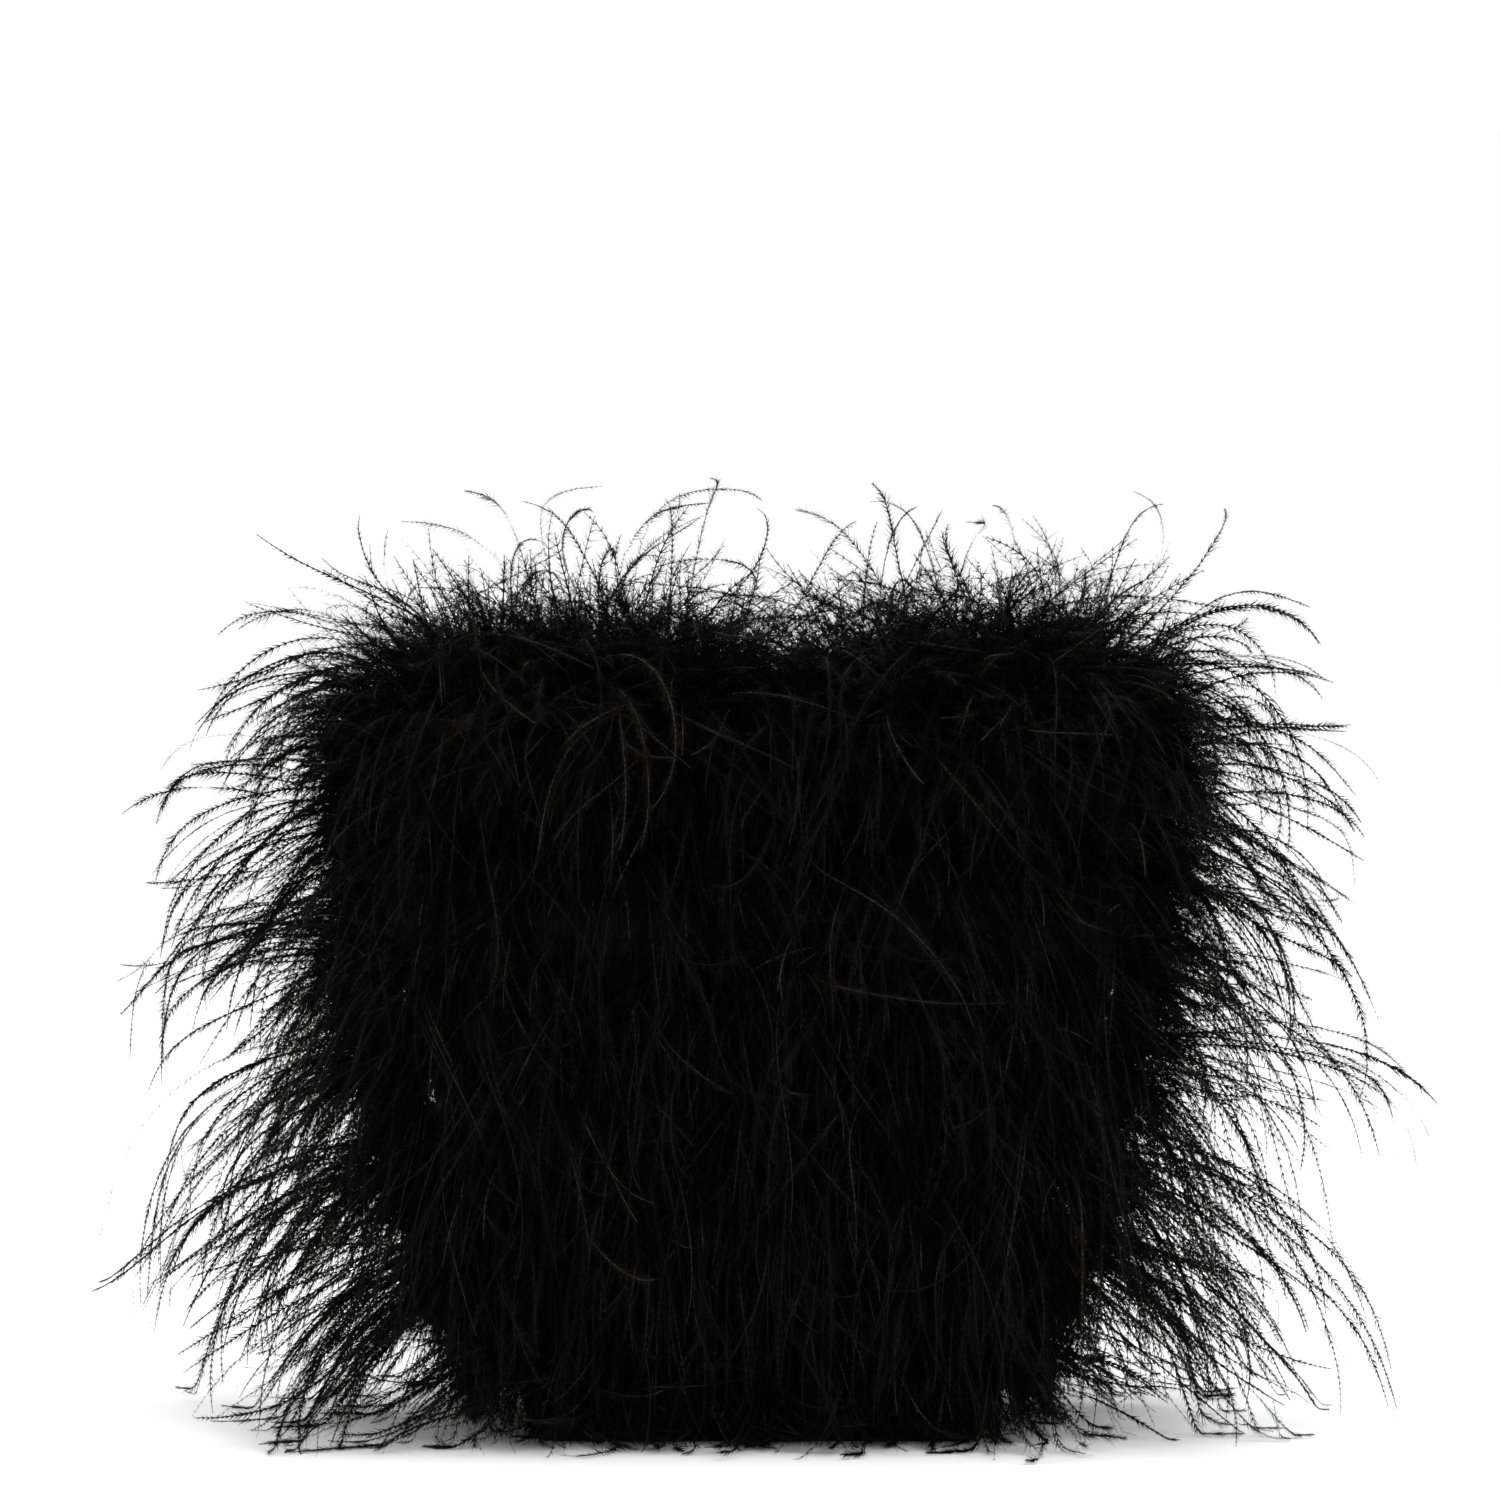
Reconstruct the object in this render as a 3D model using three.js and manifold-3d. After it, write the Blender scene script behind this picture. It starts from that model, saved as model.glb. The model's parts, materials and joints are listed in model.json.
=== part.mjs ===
// Feather-covered evening pouch with a concealed hinged mouth frame.
// Millimetres, +Z up, front towards -Y, origin at the middle of the base.
//
// A stiffened fabric shell tapers from the mouth to a flat base. Above the hinge line the front and back are
// two jaws: each is a steel frame half inside a fabric yoke, turning on rivets at the two ends of the mouth.
// Rows of feather fringe on header tapes are sewn round the shell and along both jaws. Each fringe is a plain
// solid here, as large as the feathers it stands for.
import * as THREE from 'three';
import { ConvexGeometry } from 'three/addons/geometries/ConvexGeometry.js';
import { mergeVertices } from 'three/addons/utils/BufferGeometryUtils.js';
import Module from 'manifold-3d';

const wasm = await Module();
wasm.setup();

// ---- driving dimensions ----
const MOUTH_WIDTH = 200; // shell, side to side, at the hinge line and above
const BASE_WIDTH = 116;
const BASE_DEPTH = 68;
const HINGE_DEPTH = 38; // shell, front to back, at the hinge line
const HINGE_HEIGHT = 145;
const JAW_HEIGHT = 51; // from the hinge axis up to the mouth's edge
const MOUTH_CORNER = 18; // outer radius of the yoke's top corners

const CLEARANCE = 0.3; // between any two pieces that lie on each other
const SHELL_THICKNESS = 1.6;
const STIFFENER_THICKNESS = 0.8;
const LINING_THICKNESS = 0.8;
const BASE_PANEL_THICKNESS = 2;
const BASE_BOARD_THICKNESS = 2;

const POCKET_WIDTH = 110;
const POCKET_HEIGHT = 62;
const POCKET_DROP = 22; // from the top of the lining down to the pocket's mouth
const POCKET_THICKNESS = 0.8;

const FACING_THICKNESS = 1.3;
const FRAME_THICKNESS = 2;
const FRAME_BAR = 8; // height of the top bar and width of the legs
const FRAME_INSET = 4; // from the yoke's outline in to the frame's
const EAR_THICKNESS = 1.5;
const EAR_WALL = 2; // steel around the pin's hole
const PIN_RADIUS = 1.3;
const PIN_HOLE_CLEARANCE = 0.3;
const PIN_HEAD_RIM = 1.7; // from the shank out to the head's edge
const PIN_HEAD_THICKNESS = 1;
const HINGE_ROOM = 9; // free height under the hinge axis, where the jaws turn

const SNAP_RADIUS = 7;
const SNAP_BELOW_FRAME = 2; // from the frame's top bar down to the snap's rim
const SNAP_PLATE = 1.4;
const SNAP_MAGNET = 2.9;
const SNAP_STUD_RADIUS = 2;
const SNAP_STUD_LENGTH = 1.8;
const SNAP_HOLE_CLEARANCE = 0.5;
const SNAP_WASHER = 0.6;
const PRONG_WIDTH = 3;
const PRONG_THICKNESS = 0.5;
const PRONG_SPREAD = 4; // from the snap's centre out to each prong

const TAPE_WIDTH = 10;
const TAPE_THICKNESS = 0.8;
const ROW_COUNT = 5; // fringe rows round the shell
const FIRST_ROW_HEIGHT = 24;
const TOP_ROW_INSET = 9; // from the shell's top edge down to the top row
const ROW_ROOT = 16; // height of a fringe where it leaves its tape
const FLOOR_GAP = 0.5;
const FRONT_TIP = { thickness: 9, pitch: 13, reach: 26, reachStep: 5.5, flare: 0.9 };
const SIDE_TIP = { thickness: 10, pitch: 20, reach: 82, floorReach: 54, flare: 0.45 };
const JAW_ROOT = 12; // height of a jaw's fringe where it leaves its tape
const JAW_ROWS = [
  { aboveHinge: 14, reach: 42, rise: 6, thickness: 10, flare: 0.9 },
  { belowMouth: 11, reach: 28, rise: 46, thickness: 24, flare: 0.9 },
];

// ---- how solids are made, with no effect on sizes ----
const DISC_SIDES = 32;
const PIN_SIDES = 24;
const CORNER_SEGMENTS = 8;
const SMALLEST_RADIUS = 1; // a corner's radius never gets smaller when its outline is inset
const OVERSHOOT = 1; // how far a cutting solid stands out of what it cuts
const WELD = 0.2; // how far joined solids of one piece sink into each other
const SAME_POINT = 1e-4; // points nearer than this are one

// ---- places that follow from them ----
const PANEL_BOTTOM = BASE_PANEL_THICKNESS + CLEARANCE;
const PANEL_TOP = HINGE_HEIGHT - HINGE_ROOM;
const BOARD_TOP = PANEL_BOTTOM + BASE_BOARD_THICKNESS;
const STIFFENER_OFFSET = SHELL_THICKNESS + CLEARANCE;
const LINING_OFFSET = STIFFENER_OFFSET + STIFFENER_THICKNESS + CLEARANCE;
const LINING_BACK = LINING_OFFSET + LINING_THICKNESS;
const TAPE_BACK = -CLEARANCE;
const TAPE_FRONT = TAPE_BACK - TAPE_THICKNESS;
const FRINGE_ROOT = TAPE_FRONT - CLEARANCE;

const MOUTH_HEIGHT = HINGE_HEIGHT + JAW_HEIGHT;
const MOUTH_GAP = SNAP_PLATE + SNAP_MAGNET + 3 * CLEARANCE; // between the facings; the closed snap fills it
const EAR_RADIUS = PIN_RADIUS + PIN_HOLE_CLEARANCE + EAR_WALL;
const PIN_HEAD_RADIUS = PIN_RADIUS + PIN_HEAD_RIM;
const FACING_BACK = Math.max(MOUTH_GAP / 2, EAR_RADIUS - FACING_THICKNESS);
const FRAME_BACK = FACING_BACK + FACING_THICKNESS + CLEARANCE; // each half's legs clear the other half's ears
const FRAME_FRONT = FRAME_BACK + FRAME_THICKNESS;
const YOKE_BACK = FRAME_FRONT + CLEARANCE;
const YOKE_FRONT = YOKE_BACK + SHELL_THICKNESS;
const YOKE_BOTTOM = HINGE_HEIGHT + EAR_RADIUS + CLEARANCE;
const FRAME_TOP = MOUTH_HEIGHT - FRAME_INSET;
const FRAME_HALF = MOUTH_WIDTH / 2 - FRAME_INSET;
const EAR_X = { front: FRAME_HALF, back: FRAME_HALF - EAR_THICKNESS - CLEARANCE };
const SNAP_HEIGHT = FRAME_TOP - FRAME_BAR - SNAP_BELOW_FRAME - SNAP_RADIUS;

// Half-width and half-depth of the shell's outside at height z: straight from the base to the hinge line.
const upTheShell = (z) => Math.min(z / HINGE_HEIGHT, 1);
const halfWidth = (z) => BASE_WIDTH / 2 + ((MOUTH_WIDTH - BASE_WIDTH) / 2) * upTheShell(z);
const halfDepth = (z) => BASE_DEPTH / 2 + ((HINGE_DEPTH - BASE_DEPTH) / 2) * upTheShell(z);

// ---- materials ----
const material = (color, roughness, metalness = 0) =>
  new THREE.MeshStandardMaterial({ color, roughness, metalness });
const feather = material(0x0b0a0b, 0.75);
const shellFabric = material(0x0c0c0e, 0.8);
const liningSatin = material(0x101013, 0.4);
const tapeFabric = material(0x0d0d0f, 0.7);
const board = material(0x3a3733, 0.85);
const steel = material(0x8d9094, 0.35, 1);
const nickel = material(0xb9b6ae, 0.25, 1);

// ---- solids ----
function toSolid(geometry) {
  const bare = geometry.clone();
  bare.deleteAttribute('normal');
  bare.deleteAttribute('uv');
  const merged = mergeVertices(bare, SAME_POINT);
  return new wasm.Manifold(new wasm.Mesh({
    numProp: 3,
    vertProperties: new Float32Array(merged.attributes.position.array),
    triVerts: new Uint32Array(merged.index.array),
  }));
}

function toGeometry(solid) {
  const mesh = solid.getMesh();
  const geometry = new THREE.BufferGeometry();
  geometry.setAttribute('position', new THREE.BufferAttribute(new Float32Array(mesh.vertProperties), 3));
  geometry.setIndex(new THREE.BufferAttribute(new Uint32Array(mesh.triVerts), 1));
  geometry.computeVertexNormals();
  return geometry;
}

const join = (...geometries) => toGeometry(geometries.map(toSolid).reduce((a, b) => a.add(b)));
const cut = (geometry, ...tools) =>
  toGeometry(tools.map(toSolid).reduce((a, b) => a.subtract(b), toSolid(geometry)));

function box(x0, x1, y0, y1, z0, z1) {
  return new THREE.BoxGeometry(x1 - x0, y1 - y0, z1 - z0)
    .translate((x0 + x1) / 2, (y0 + y1) / 2, (z0 + z1) / 2);
}

// A cylinder along Y, from y0 to y1, centred on the mouth at height z.
function discAcross(radius, y0, y1, z) {
  return new THREE.CylinderGeometry(radius, radius, y1 - y0, DISC_SIDES).translate(0, (y0 + y1) / 2, z);
}

// A cylinder along X on the hinge axis.
function discOnHinge(radius, x0, x1) {
  return new THREE.CylinderGeometry(radius, radius, x1 - x0, PIN_SIDES)
    .rotateZ(Math.PI / 2).translate((x0 + x1) / 2, 0, HINGE_HEIGHT);
}

const hull = (points) => new ConvexGeometry(points.map((p) => new THREE.Vector3(...p)));
const backOf = (geometry) => geometry.clone().rotateZ(Math.PI);

// The shell's whole outline between two heights, grown sideways; what a ring tape is cut from.
function shellBlock(z0, z1, grow) {
  const corners = [];
  for (const z of [z0, z1])
    for (const sx of [-1, 1])
      for (const sy of [-1, 1])
        corners.push([sx * (halfWidth(z) + grow), sy * (halfDepth(z) + grow), z]);
  return hull(corners);
}

// One layer of the front wall, from `outer` to `inner` behind the shell's outside, and `trim` short of its
// side edges.
function frontLayer(z0, z1, outer, inner, trim) {
  const corners = [];
  for (const z of [z0, z1])
    for (const sx of [-1, 1])
      for (const offset of [outer, inner])
        corners.push([sx * (halfWidth(z) - trim), offset - halfDepth(z), z]);
  return hull(corners);
}

// The same on the left wall.
function leftLayer(z0, z1, outer, inner, trim) {
  const corners = [];
  for (const z of [z0, z1])
    for (const sy of [-1, 1])
      for (const offset of [outer, inner])
        corners.push([offset - halfWidth(z), sy * (halfDepth(z) - trim), z]);
  return hull(corners);
}

// A flat outline of the mouth, `inset` inside the yoke's edge: upright sides and rounded top corners.
function mouthOutline(inset, bottom) {
  const half = MOUTH_WIDTH / 2 - inset;
  const top = MOUTH_HEIGHT - inset;
  const radius = Math.max(MOUTH_CORNER - inset, SMALLEST_RADIUS);
  const shape = new THREE.Shape();
  shape.moveTo(-half, bottom);
  shape.lineTo(half, bottom);
  shape.lineTo(half, top - radius);
  shape.absarc(half - radius, top - radius, radius, 0, Math.PI / 2);
  shape.lineTo(-half + radius, top);
  shape.absarc(-half + radius, top - radius, radius, Math.PI / 2, Math.PI);
  shape.closePath();
  return shape;
}

// An outline in X and Z made solid from y = -back to y = -front.
function upright(shape, back, front) {
  const options = { depth: front - back, bevelEnabled: false, curveSegments: CORNER_SEGMENTS };
  return new THREE.ExtrudeGeometry(shape, options).rotateX(Math.PI / 2).translate(0, -back, 0);
}

// ---- the jaws, built as the front one ----
function frameHalf(earOutside) {
  const bottom = HINGE_HEIGHT - EAR_RADIUS;
  const outer = upright(mouthOutline(FRAME_INSET, bottom), FRAME_BACK, FRAME_FRONT);
  const window = new THREE.Shape();
  const half = FRAME_HALF - FRAME_BAR;
  const top = FRAME_TOP - FRAME_BAR;
  const radius = Math.max(MOUTH_CORNER - FRAME_INSET - FRAME_BAR, SMALLEST_RADIUS);
  window.moveTo(-half, bottom - EAR_RADIUS);
  window.lineTo(half, bottom - EAR_RADIUS);
  window.lineTo(half, top - radius);
  window.absarc(half - radius, top - radius, radius, 0, Math.PI / 2);
  window.absarc(-half + radius, top - radius, radius, Math.PI / 2, Math.PI);
  window.closePath();
  let strip = cut(outer, upright(window, FRAME_BACK - OVERSHOOT, FRAME_FRONT + OVERSHOOT));
  for (const side of [-1, 1]) {
    const [x0, x1] = [side * earOutside, side * (earOutside - EAR_THICKNESS)].sort((a, b) => a - b);
    const ear = discOnHinge(EAR_RADIUS, x0, x1);
    const tab = box(x0, x1, -FRAME_FRONT, 0, bottom, HINGE_HEIGHT + EAR_RADIUS);
    const hole = discOnHinge(PIN_RADIUS + PIN_HOLE_CLEARANCE, x0 - OVERSHOOT, x1 + OVERSHOOT);
    strip = cut(join(strip, tab, ear), hole);
  }
  return strip;
}

function yoke() {
  const wall = upright(mouthOutline(0, YOKE_BOTTOM), FACING_BACK, YOKE_FRONT);
  const inside = mouthOutline(SHELL_THICKNESS, YOKE_BOTTOM - OVERSHOOT);
  const hollow = upright(inside, FACING_BACK - OVERSHOOT, YOKE_BACK);
  return cut(wall, hollow);
}

// The two prongs' places, from y = -back to y = -front, and `gap` wider all round.
const prongs = (back, front, gap = 0) => [-1, 1].map((side) => {
  const x = side * PRONG_SPREAD;
  const halfX = PRONG_THICKNESS / 2 + gap;
  const halfZ = PRONG_WIDTH / 2 + gap;
  return box(x - halfX, x + halfX, -front, -back, SNAP_HEIGHT - halfZ, SNAP_HEIGHT + halfZ);
});

function facing() {
  const outline = mouthOutline(SHELL_THICKNESS + CLEARANCE, YOKE_BOTTOM);
  const sheet = upright(outline, FACING_BACK, FACING_BACK + FACING_THICKNESS);
  return cut(sheet, ...prongs(FACING_BACK - OVERSHOOT, FRAME_BACK, CLEARANCE));
}

function snapWasher() {
  const disc = discAcross(SNAP_RADIUS, -FRAME_BACK - SNAP_WASHER, -FRAME_BACK, SNAP_HEIGHT);
  return cut(disc, ...prongs(FRAME_BACK - OVERSHOOT, FRAME_FRONT, CLEARANCE));
}

// The male plate, and the magnet with the hole that takes its stud. Both sit on their facing and hold it with
// two prongs that pass through the facing and the washer behind it.
function snapStud() {
  const back = FACING_BACK - CLEARANCE;
  const face = SNAP_PLATE - back;
  const plate = discAcross(SNAP_RADIUS, -back, face, SNAP_HEIGHT);
  const stud = discAcross(SNAP_STUD_RADIUS, face - WELD, face + SNAP_STUD_LENGTH, SNAP_HEIGHT);
  return join(plate, stud, ...prongs(back - WELD, FRAME_BACK + SNAP_WASHER));
}

function snapMagnet() {
  const back = FACING_BACK - CLEARANCE;
  const face = SNAP_MAGNET - back;
  const bottom = face - SNAP_STUD_LENGTH - CLEARANCE;
  const body = discAcross(SNAP_RADIUS, -back, face, SNAP_HEIGHT);
  const hole = discAcross(SNAP_STUD_RADIUS + SNAP_HOLE_CLEARANCE, bottom, face + OVERSHOOT, SNAP_HEIGHT);
  return join(cut(body, hole), ...prongs(back - WELD, FRAME_BACK + SNAP_WASHER));
}

function hingePin(side) {
  const outside = FRAME_HALF + CLEARANCE;
  const inside = EAR_X.back - EAR_THICKNESS - CLEARANCE;
  const pin = join(
    discOnHinge(PIN_RADIUS, inside - PIN_HEAD_THICKNESS / 2, outside + PIN_HEAD_THICKNESS / 2),
    discOnHinge(PIN_HEAD_RADIUS, outside, outside + PIN_HEAD_THICKNESS),
    discOnHinge(PIN_HEAD_RADIUS, inside - PIN_HEAD_THICKNESS, inside));
  return side > 0 ? pin : pin.rotateZ(Math.PI);
}

const jawRowHeight = (row) =>
  ('belowMouth' in row ? MOUTH_HEIGHT - row.belowMouth : HINGE_HEIGHT + row.aboveHinge);

// A fringe of a jaw: it leaves the tape on the yoke outwards and upwards, and spreads sideways.
function jawFringe(row) {
  const root = YOKE_FRONT - FRINGE_ROOT;
  const half = MOUTH_WIDTH / 2 - MOUTH_CORNER / 2;
  const z = jawRowHeight(row);
  const corners = [];
  for (const sx of [-1, 1])
    for (const up of [0, 1]) {
      corners.push([sx * half, -root, z + JAW_ROOT * (up - 0.5)]);
      corners.push([sx * (half + row.flare * row.reach), -root - row.reach,
        z + row.rise + row.thickness * (up - 0.5)]);
    }
  return hull(corners);
}

function jawTape(row) {
  const half = MOUTH_WIDTH / 2 - MOUTH_CORNER / 2;
  const z0 = jawRowHeight(row) - TAPE_WIDTH / 2;
  return box(-half, half, TAPE_FRONT - YOKE_FRONT, TAPE_BACK - YOKE_FRONT, z0, z0 + TAPE_WIDTH);
}

// ---- the shell's fringes, as shingles whose tips fan out above the floor ----
const ROW_PITCH = (PANEL_TOP - TOP_ROW_INSET - FIRST_ROW_HEIGHT) / (ROW_COUNT - 1);
const rowHeight = (row) => FIRST_ROW_HEIGHT + row * ROW_PITCH;

function frontFringe(row) {
  const z = rowHeight(row);
  const reach = FRONT_TIP.reach + FRONT_TIP.reachStep * row;
  const tip = FLOOR_GAP + FRONT_TIP.pitch * row;
  const corners = [];
  for (const sx of [-1, 1])
    for (const up of [0, 1]) {
      const zRoot = z + ROW_ROOT * (up - 0.5);
      corners.push([sx * halfWidth(z), FRINGE_ROOT - halfDepth(zRoot), zRoot]);
      corners.push([sx * (halfWidth(z) + FRONT_TIP.flare * reach), FRINGE_ROOT - halfDepth(z) - reach,
        tip + FRONT_TIP.thickness * up]);
    }
  return hull(corners);
}

function leftFringe(row) {
  const z = rowHeight(row);
  const reach = row === 0 ? SIDE_TIP.floorReach : SIDE_TIP.reach;
  const tip = FLOOR_GAP + SIDE_TIP.pitch * row;
  const corners = [];
  for (const sy of [-1, 1])
    for (const up of [0, 1]) {
      const zRoot = z + ROW_ROOT * (up - 0.5);
      corners.push([FRINGE_ROOT - halfWidth(zRoot), sy * (halfDepth(z) - SHELL_THICKNESS), zRoot]);
      corners.push([FRINGE_ROOT - halfWidth(z) - reach, sy * (halfDepth(z) + SIDE_TIP.flare * reach),
        tip + SIDE_TIP.thickness * up]);
    }
  return hull(corners);
}

function ringTape(row) {
  const z0 = rowHeight(row) - TAPE_WIDTH / 2;
  const z1 = rowHeight(row) + TAPE_WIDTH / 2;
  return cut(shellBlock(z0, z1, -TAPE_FRONT), shellBlock(z0 - OVERSHOOT, z1 + OVERSHOOT, -TAPE_BACK));
}

// ---- assembly ----
const pouch = new THREE.Group();

function place(name, geometry, look) {
  const mesh = new THREE.Mesh(geometry, look);
  mesh.name = name;
  pouch.add(mesh);
}

function placePair(front, back, geometry, look) {
  place(front, geometry, look);
  place(back, backOf(geometry), look);
}

function placeShell() {
  const inside = SHELL_THICKNESS + CLEARANCE;
  const panel = frontLayer(PANEL_BOTTOM, PANEL_TOP, 0, SHELL_THICKNESS, 0);
  const gusset = leftLayer(PANEL_BOTTOM, PANEL_TOP, 0, SHELL_THICKNESS, inside);
  const halfX = BASE_WIDTH / 2;
  const halfY = BASE_DEPTH / 2;
  placePair('front_panel', 'back_panel', panel, shellFabric);
  placePair('gusset_left', 'gusset_right', gusset, shellFabric);
  place('base_panel', box(-halfX, halfX, -halfY, halfY, 0, BASE_PANEL_THICKNESS), shellFabric);
  const boardX = halfX - inside;
  const boardY = halfDepth(BOARD_TOP) - inside;
  place('base_board', box(-boardX, boardX, -boardY, boardY, PANEL_BOTTOM, BOARD_TOP), board);
  const bottom = BOARD_TOP + CLEARANCE;
  const back = STIFFENER_OFFSET + STIFFENER_THICKNESS;
  const stiffener = frontLayer(bottom, PANEL_TOP, STIFFENER_OFFSET, back, inside);
  placePair('front_stiffener', 'back_stiffener', stiffener, board);
}

function placeLining() {
  const bottom = BOARD_TOP + CLEARANCE;
  const top = PANEL_TOP;
  placePair('lining_front', 'lining_back',
    frontLayer(bottom, top, LINING_OFFSET, LINING_BACK, LINING_OFFSET), liningSatin);
  placePair('lining_left', 'lining_right',
    leftLayer(bottom, top, LINING_OFFSET, LINING_BACK, LINING_BACK + CLEARANCE), liningSatin);
  const x = halfWidth(bottom) - LINING_BACK - CLEARANCE;
  const y = halfDepth(bottom + LINING_THICKNESS) - LINING_BACK - CLEARANCE;
  place('lining_base', box(-x, x, -y, y, bottom, bottom + LINING_THICKNESS), liningSatin);
  const pocketTop = top - POCKET_DROP;
  const corners = [];
  for (const z of [pocketTop - POCKET_HEIGHT, pocketTop])
    for (const sx of [-1, 1])
      for (const depth of [CLEARANCE, CLEARANCE + POCKET_THICKNESS])
        corners.push([sx * POCKET_WIDTH / 2, halfDepth(z) - LINING_BACK - depth, z]);
  place('interior_pocket', hull(corners), liningSatin);
}

function placeJaws() {
  place('front_frame', frameHalf(EAR_X.front), steel);
  place('back_frame', backOf(frameHalf(EAR_X.back)), steel);
  place('hinge_pin_left', hingePin(-1), steel);
  place('hinge_pin_right', hingePin(1), steel);
  placePair('front_yoke', 'back_yoke', yoke(), shellFabric);
  placePair('front_facing', 'back_facing', facing(), liningSatin);
  place('snap_stud', snapStud(), nickel);
  place('snap_magnet', backOf(snapMagnet()), nickel);
  placePair('snap_washer_front', 'snap_washer_back', snapWasher(), nickel);
  JAW_ROWS.forEach((row, i) => {
    placePair(`front_mouth_tape_${i + 1}`, `back_mouth_tape_${i + 1}`, jawTape(row), tapeFabric);
    placePair(`front_mouth_feathers_${i + 1}`, `back_mouth_feathers_${i + 1}`, jawFringe(row), feather);
  });
}

function placeFringes() {
  for (let row = 0; row < ROW_COUNT; row += 1) {
    place(`feather_tape_${row + 1}`, ringTape(row), tapeFabric);
    placePair(`front_feathers_${row + 1}`, `back_feathers_${row + 1}`, frontFringe(row), feather);
    placePair(`left_feathers_${row + 1}`, `right_feathers_${row + 1}`, leftFringe(row), feather);
  }
}

placeShell();
placeLining();
placeJaws();
placeFringes();

export default pouch;
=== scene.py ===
"""Looks of the feather evening pouch: ostrich fringe, fabric shell, satin lining, steel frame and snap.

Metres throughout, front towards -Y. Everything soft is built here as a mesh; the steel frame, the rivets, the
snap and the boards are the CAD's own nodes with better materials.
"""

import itertools
import json
import math

import bpy
import numpy as np
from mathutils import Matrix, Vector


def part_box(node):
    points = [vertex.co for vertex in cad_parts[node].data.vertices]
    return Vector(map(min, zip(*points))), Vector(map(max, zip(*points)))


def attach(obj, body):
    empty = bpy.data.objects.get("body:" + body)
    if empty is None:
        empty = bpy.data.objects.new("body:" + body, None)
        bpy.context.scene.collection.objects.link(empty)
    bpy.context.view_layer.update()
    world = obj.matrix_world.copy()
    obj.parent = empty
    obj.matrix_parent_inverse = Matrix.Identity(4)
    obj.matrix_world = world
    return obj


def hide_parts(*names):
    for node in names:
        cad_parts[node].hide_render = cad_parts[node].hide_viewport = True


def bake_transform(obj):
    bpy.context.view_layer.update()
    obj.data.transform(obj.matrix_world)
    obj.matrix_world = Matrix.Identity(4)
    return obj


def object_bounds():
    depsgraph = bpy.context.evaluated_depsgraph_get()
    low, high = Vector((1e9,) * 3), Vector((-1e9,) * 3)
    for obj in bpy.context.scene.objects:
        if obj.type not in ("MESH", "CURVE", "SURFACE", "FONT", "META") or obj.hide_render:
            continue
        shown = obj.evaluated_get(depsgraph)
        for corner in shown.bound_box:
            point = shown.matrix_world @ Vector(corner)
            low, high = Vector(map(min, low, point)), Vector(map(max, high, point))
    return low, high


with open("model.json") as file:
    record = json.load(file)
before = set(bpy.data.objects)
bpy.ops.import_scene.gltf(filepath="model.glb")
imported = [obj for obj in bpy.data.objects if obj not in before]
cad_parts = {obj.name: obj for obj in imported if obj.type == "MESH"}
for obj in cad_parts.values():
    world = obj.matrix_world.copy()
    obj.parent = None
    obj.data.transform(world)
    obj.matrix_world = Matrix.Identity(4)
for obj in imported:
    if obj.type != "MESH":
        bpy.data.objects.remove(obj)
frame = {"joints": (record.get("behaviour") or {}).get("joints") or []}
cad_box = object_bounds()

MM = 0.001
SEED = 7
BODY, JAWS = "pouch_body", {"front": "front_jaw", "back": "back_jaw"}
OUTWARD = {"front": -90.0, "back": 90.0, "left": 180.0, "right": 0.0}  # azimuth that each side faces, degrees
TOWARDS = {"front": -1, "back": 1, "left": -1, "right": 1}  # the way along its own axis that each side faces
SIDES = tuple(OUTWARD)

# Shell, as the CAD has it: straight walls from the base to the hinge line, upright jaws above.
HINGE = frame["joints"][0]["pos_m"][2]
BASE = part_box("base_panel")[1]
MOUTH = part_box("front_yoke")[1]
WALL_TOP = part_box("front_panel")[1].z
JAW_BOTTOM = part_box("front_yoke")[0].z
JAW_FACE = -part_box("front_yoke")[0].y  # from the middle plane to the cloth over a jaw
JAW_BACK = -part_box("front_facing")[1].y  # to the lining over it
HINGE_HALF_DEPTH = 19 * MM
MOUTH_CORNER = 18 * MM
FOLD_X = MOUTH.x - 13 * MM  # inside the frame's legs, where a jaw's lining ends and the pleat leaves it
GUSSET_TOP = 143 * MM
WALL_FOOT = BASE.z + 0.4 * MM
SHELL_THICKNESS, GUSSET_THICKNESS, LINING_THICKNESS, TAPE_THICKNESS = 1.3 * MM, 1.2 * MM, 0.8 * MM, 0.7 * MM
LINING_DEPTH = 3.4 * MM  # from the shell's outside in to the middle of the lining
TAPE_ROWS = 5  # of vertices across a tape
TURNED_IN = 1.9 * MM  # how far cloth is turned in at an edge
PLEAT_GAP = JAW_BACK - 0.35 * MM  # from the middle plane to where a pleat is sewn to its jaw

# How far barbs may stand out along X, Y and Z: they bend back softly past the first figure, up to the second.
REACH = [(138 * MM, cad_box[1].x + 13 * MM),
         (54 * MM, cad_box[1].y + 12 * MM),
         (232 * MM, cad_box[1].z + 16 * MM)]
FLOOR, BARBULE_FLOOR = 0.6 * MM, 0.15 * MM  # the lowest that a barb and its barbules lie
SLIDE = 0.45  # how far a tip that meets the floor runs on along it, as a share of its length
SOFTENED = 4  # how often a barb's kinks, as where it meets the floor, are smoothed
SHELL_GAP = 1.4 * MM  # from the shell's outside to the middle of a barb
SHAFT_TIP, SHAFT_TAPER = 0.045 * MM, 0.09 * MM  # half a shaft's width at its tip, and what its root adds
BARBULES = 6  # at each section of a barb
DROOP = 0.1  # how far a barbule's tip sinks, as a share of its length


def unit(v):
    return v / np.maximum(np.linalg.norm(v, axis=-1, keepdims=True), 1e-12)


def ease(s):
    return s * s * (3 - 2 * s)


def ramp(z, z0, z1):
    """0 below z0, 1 above z1, smooth between."""
    return ease(np.clip((z - z0) / (z1 - z0), 0, 1))


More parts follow.
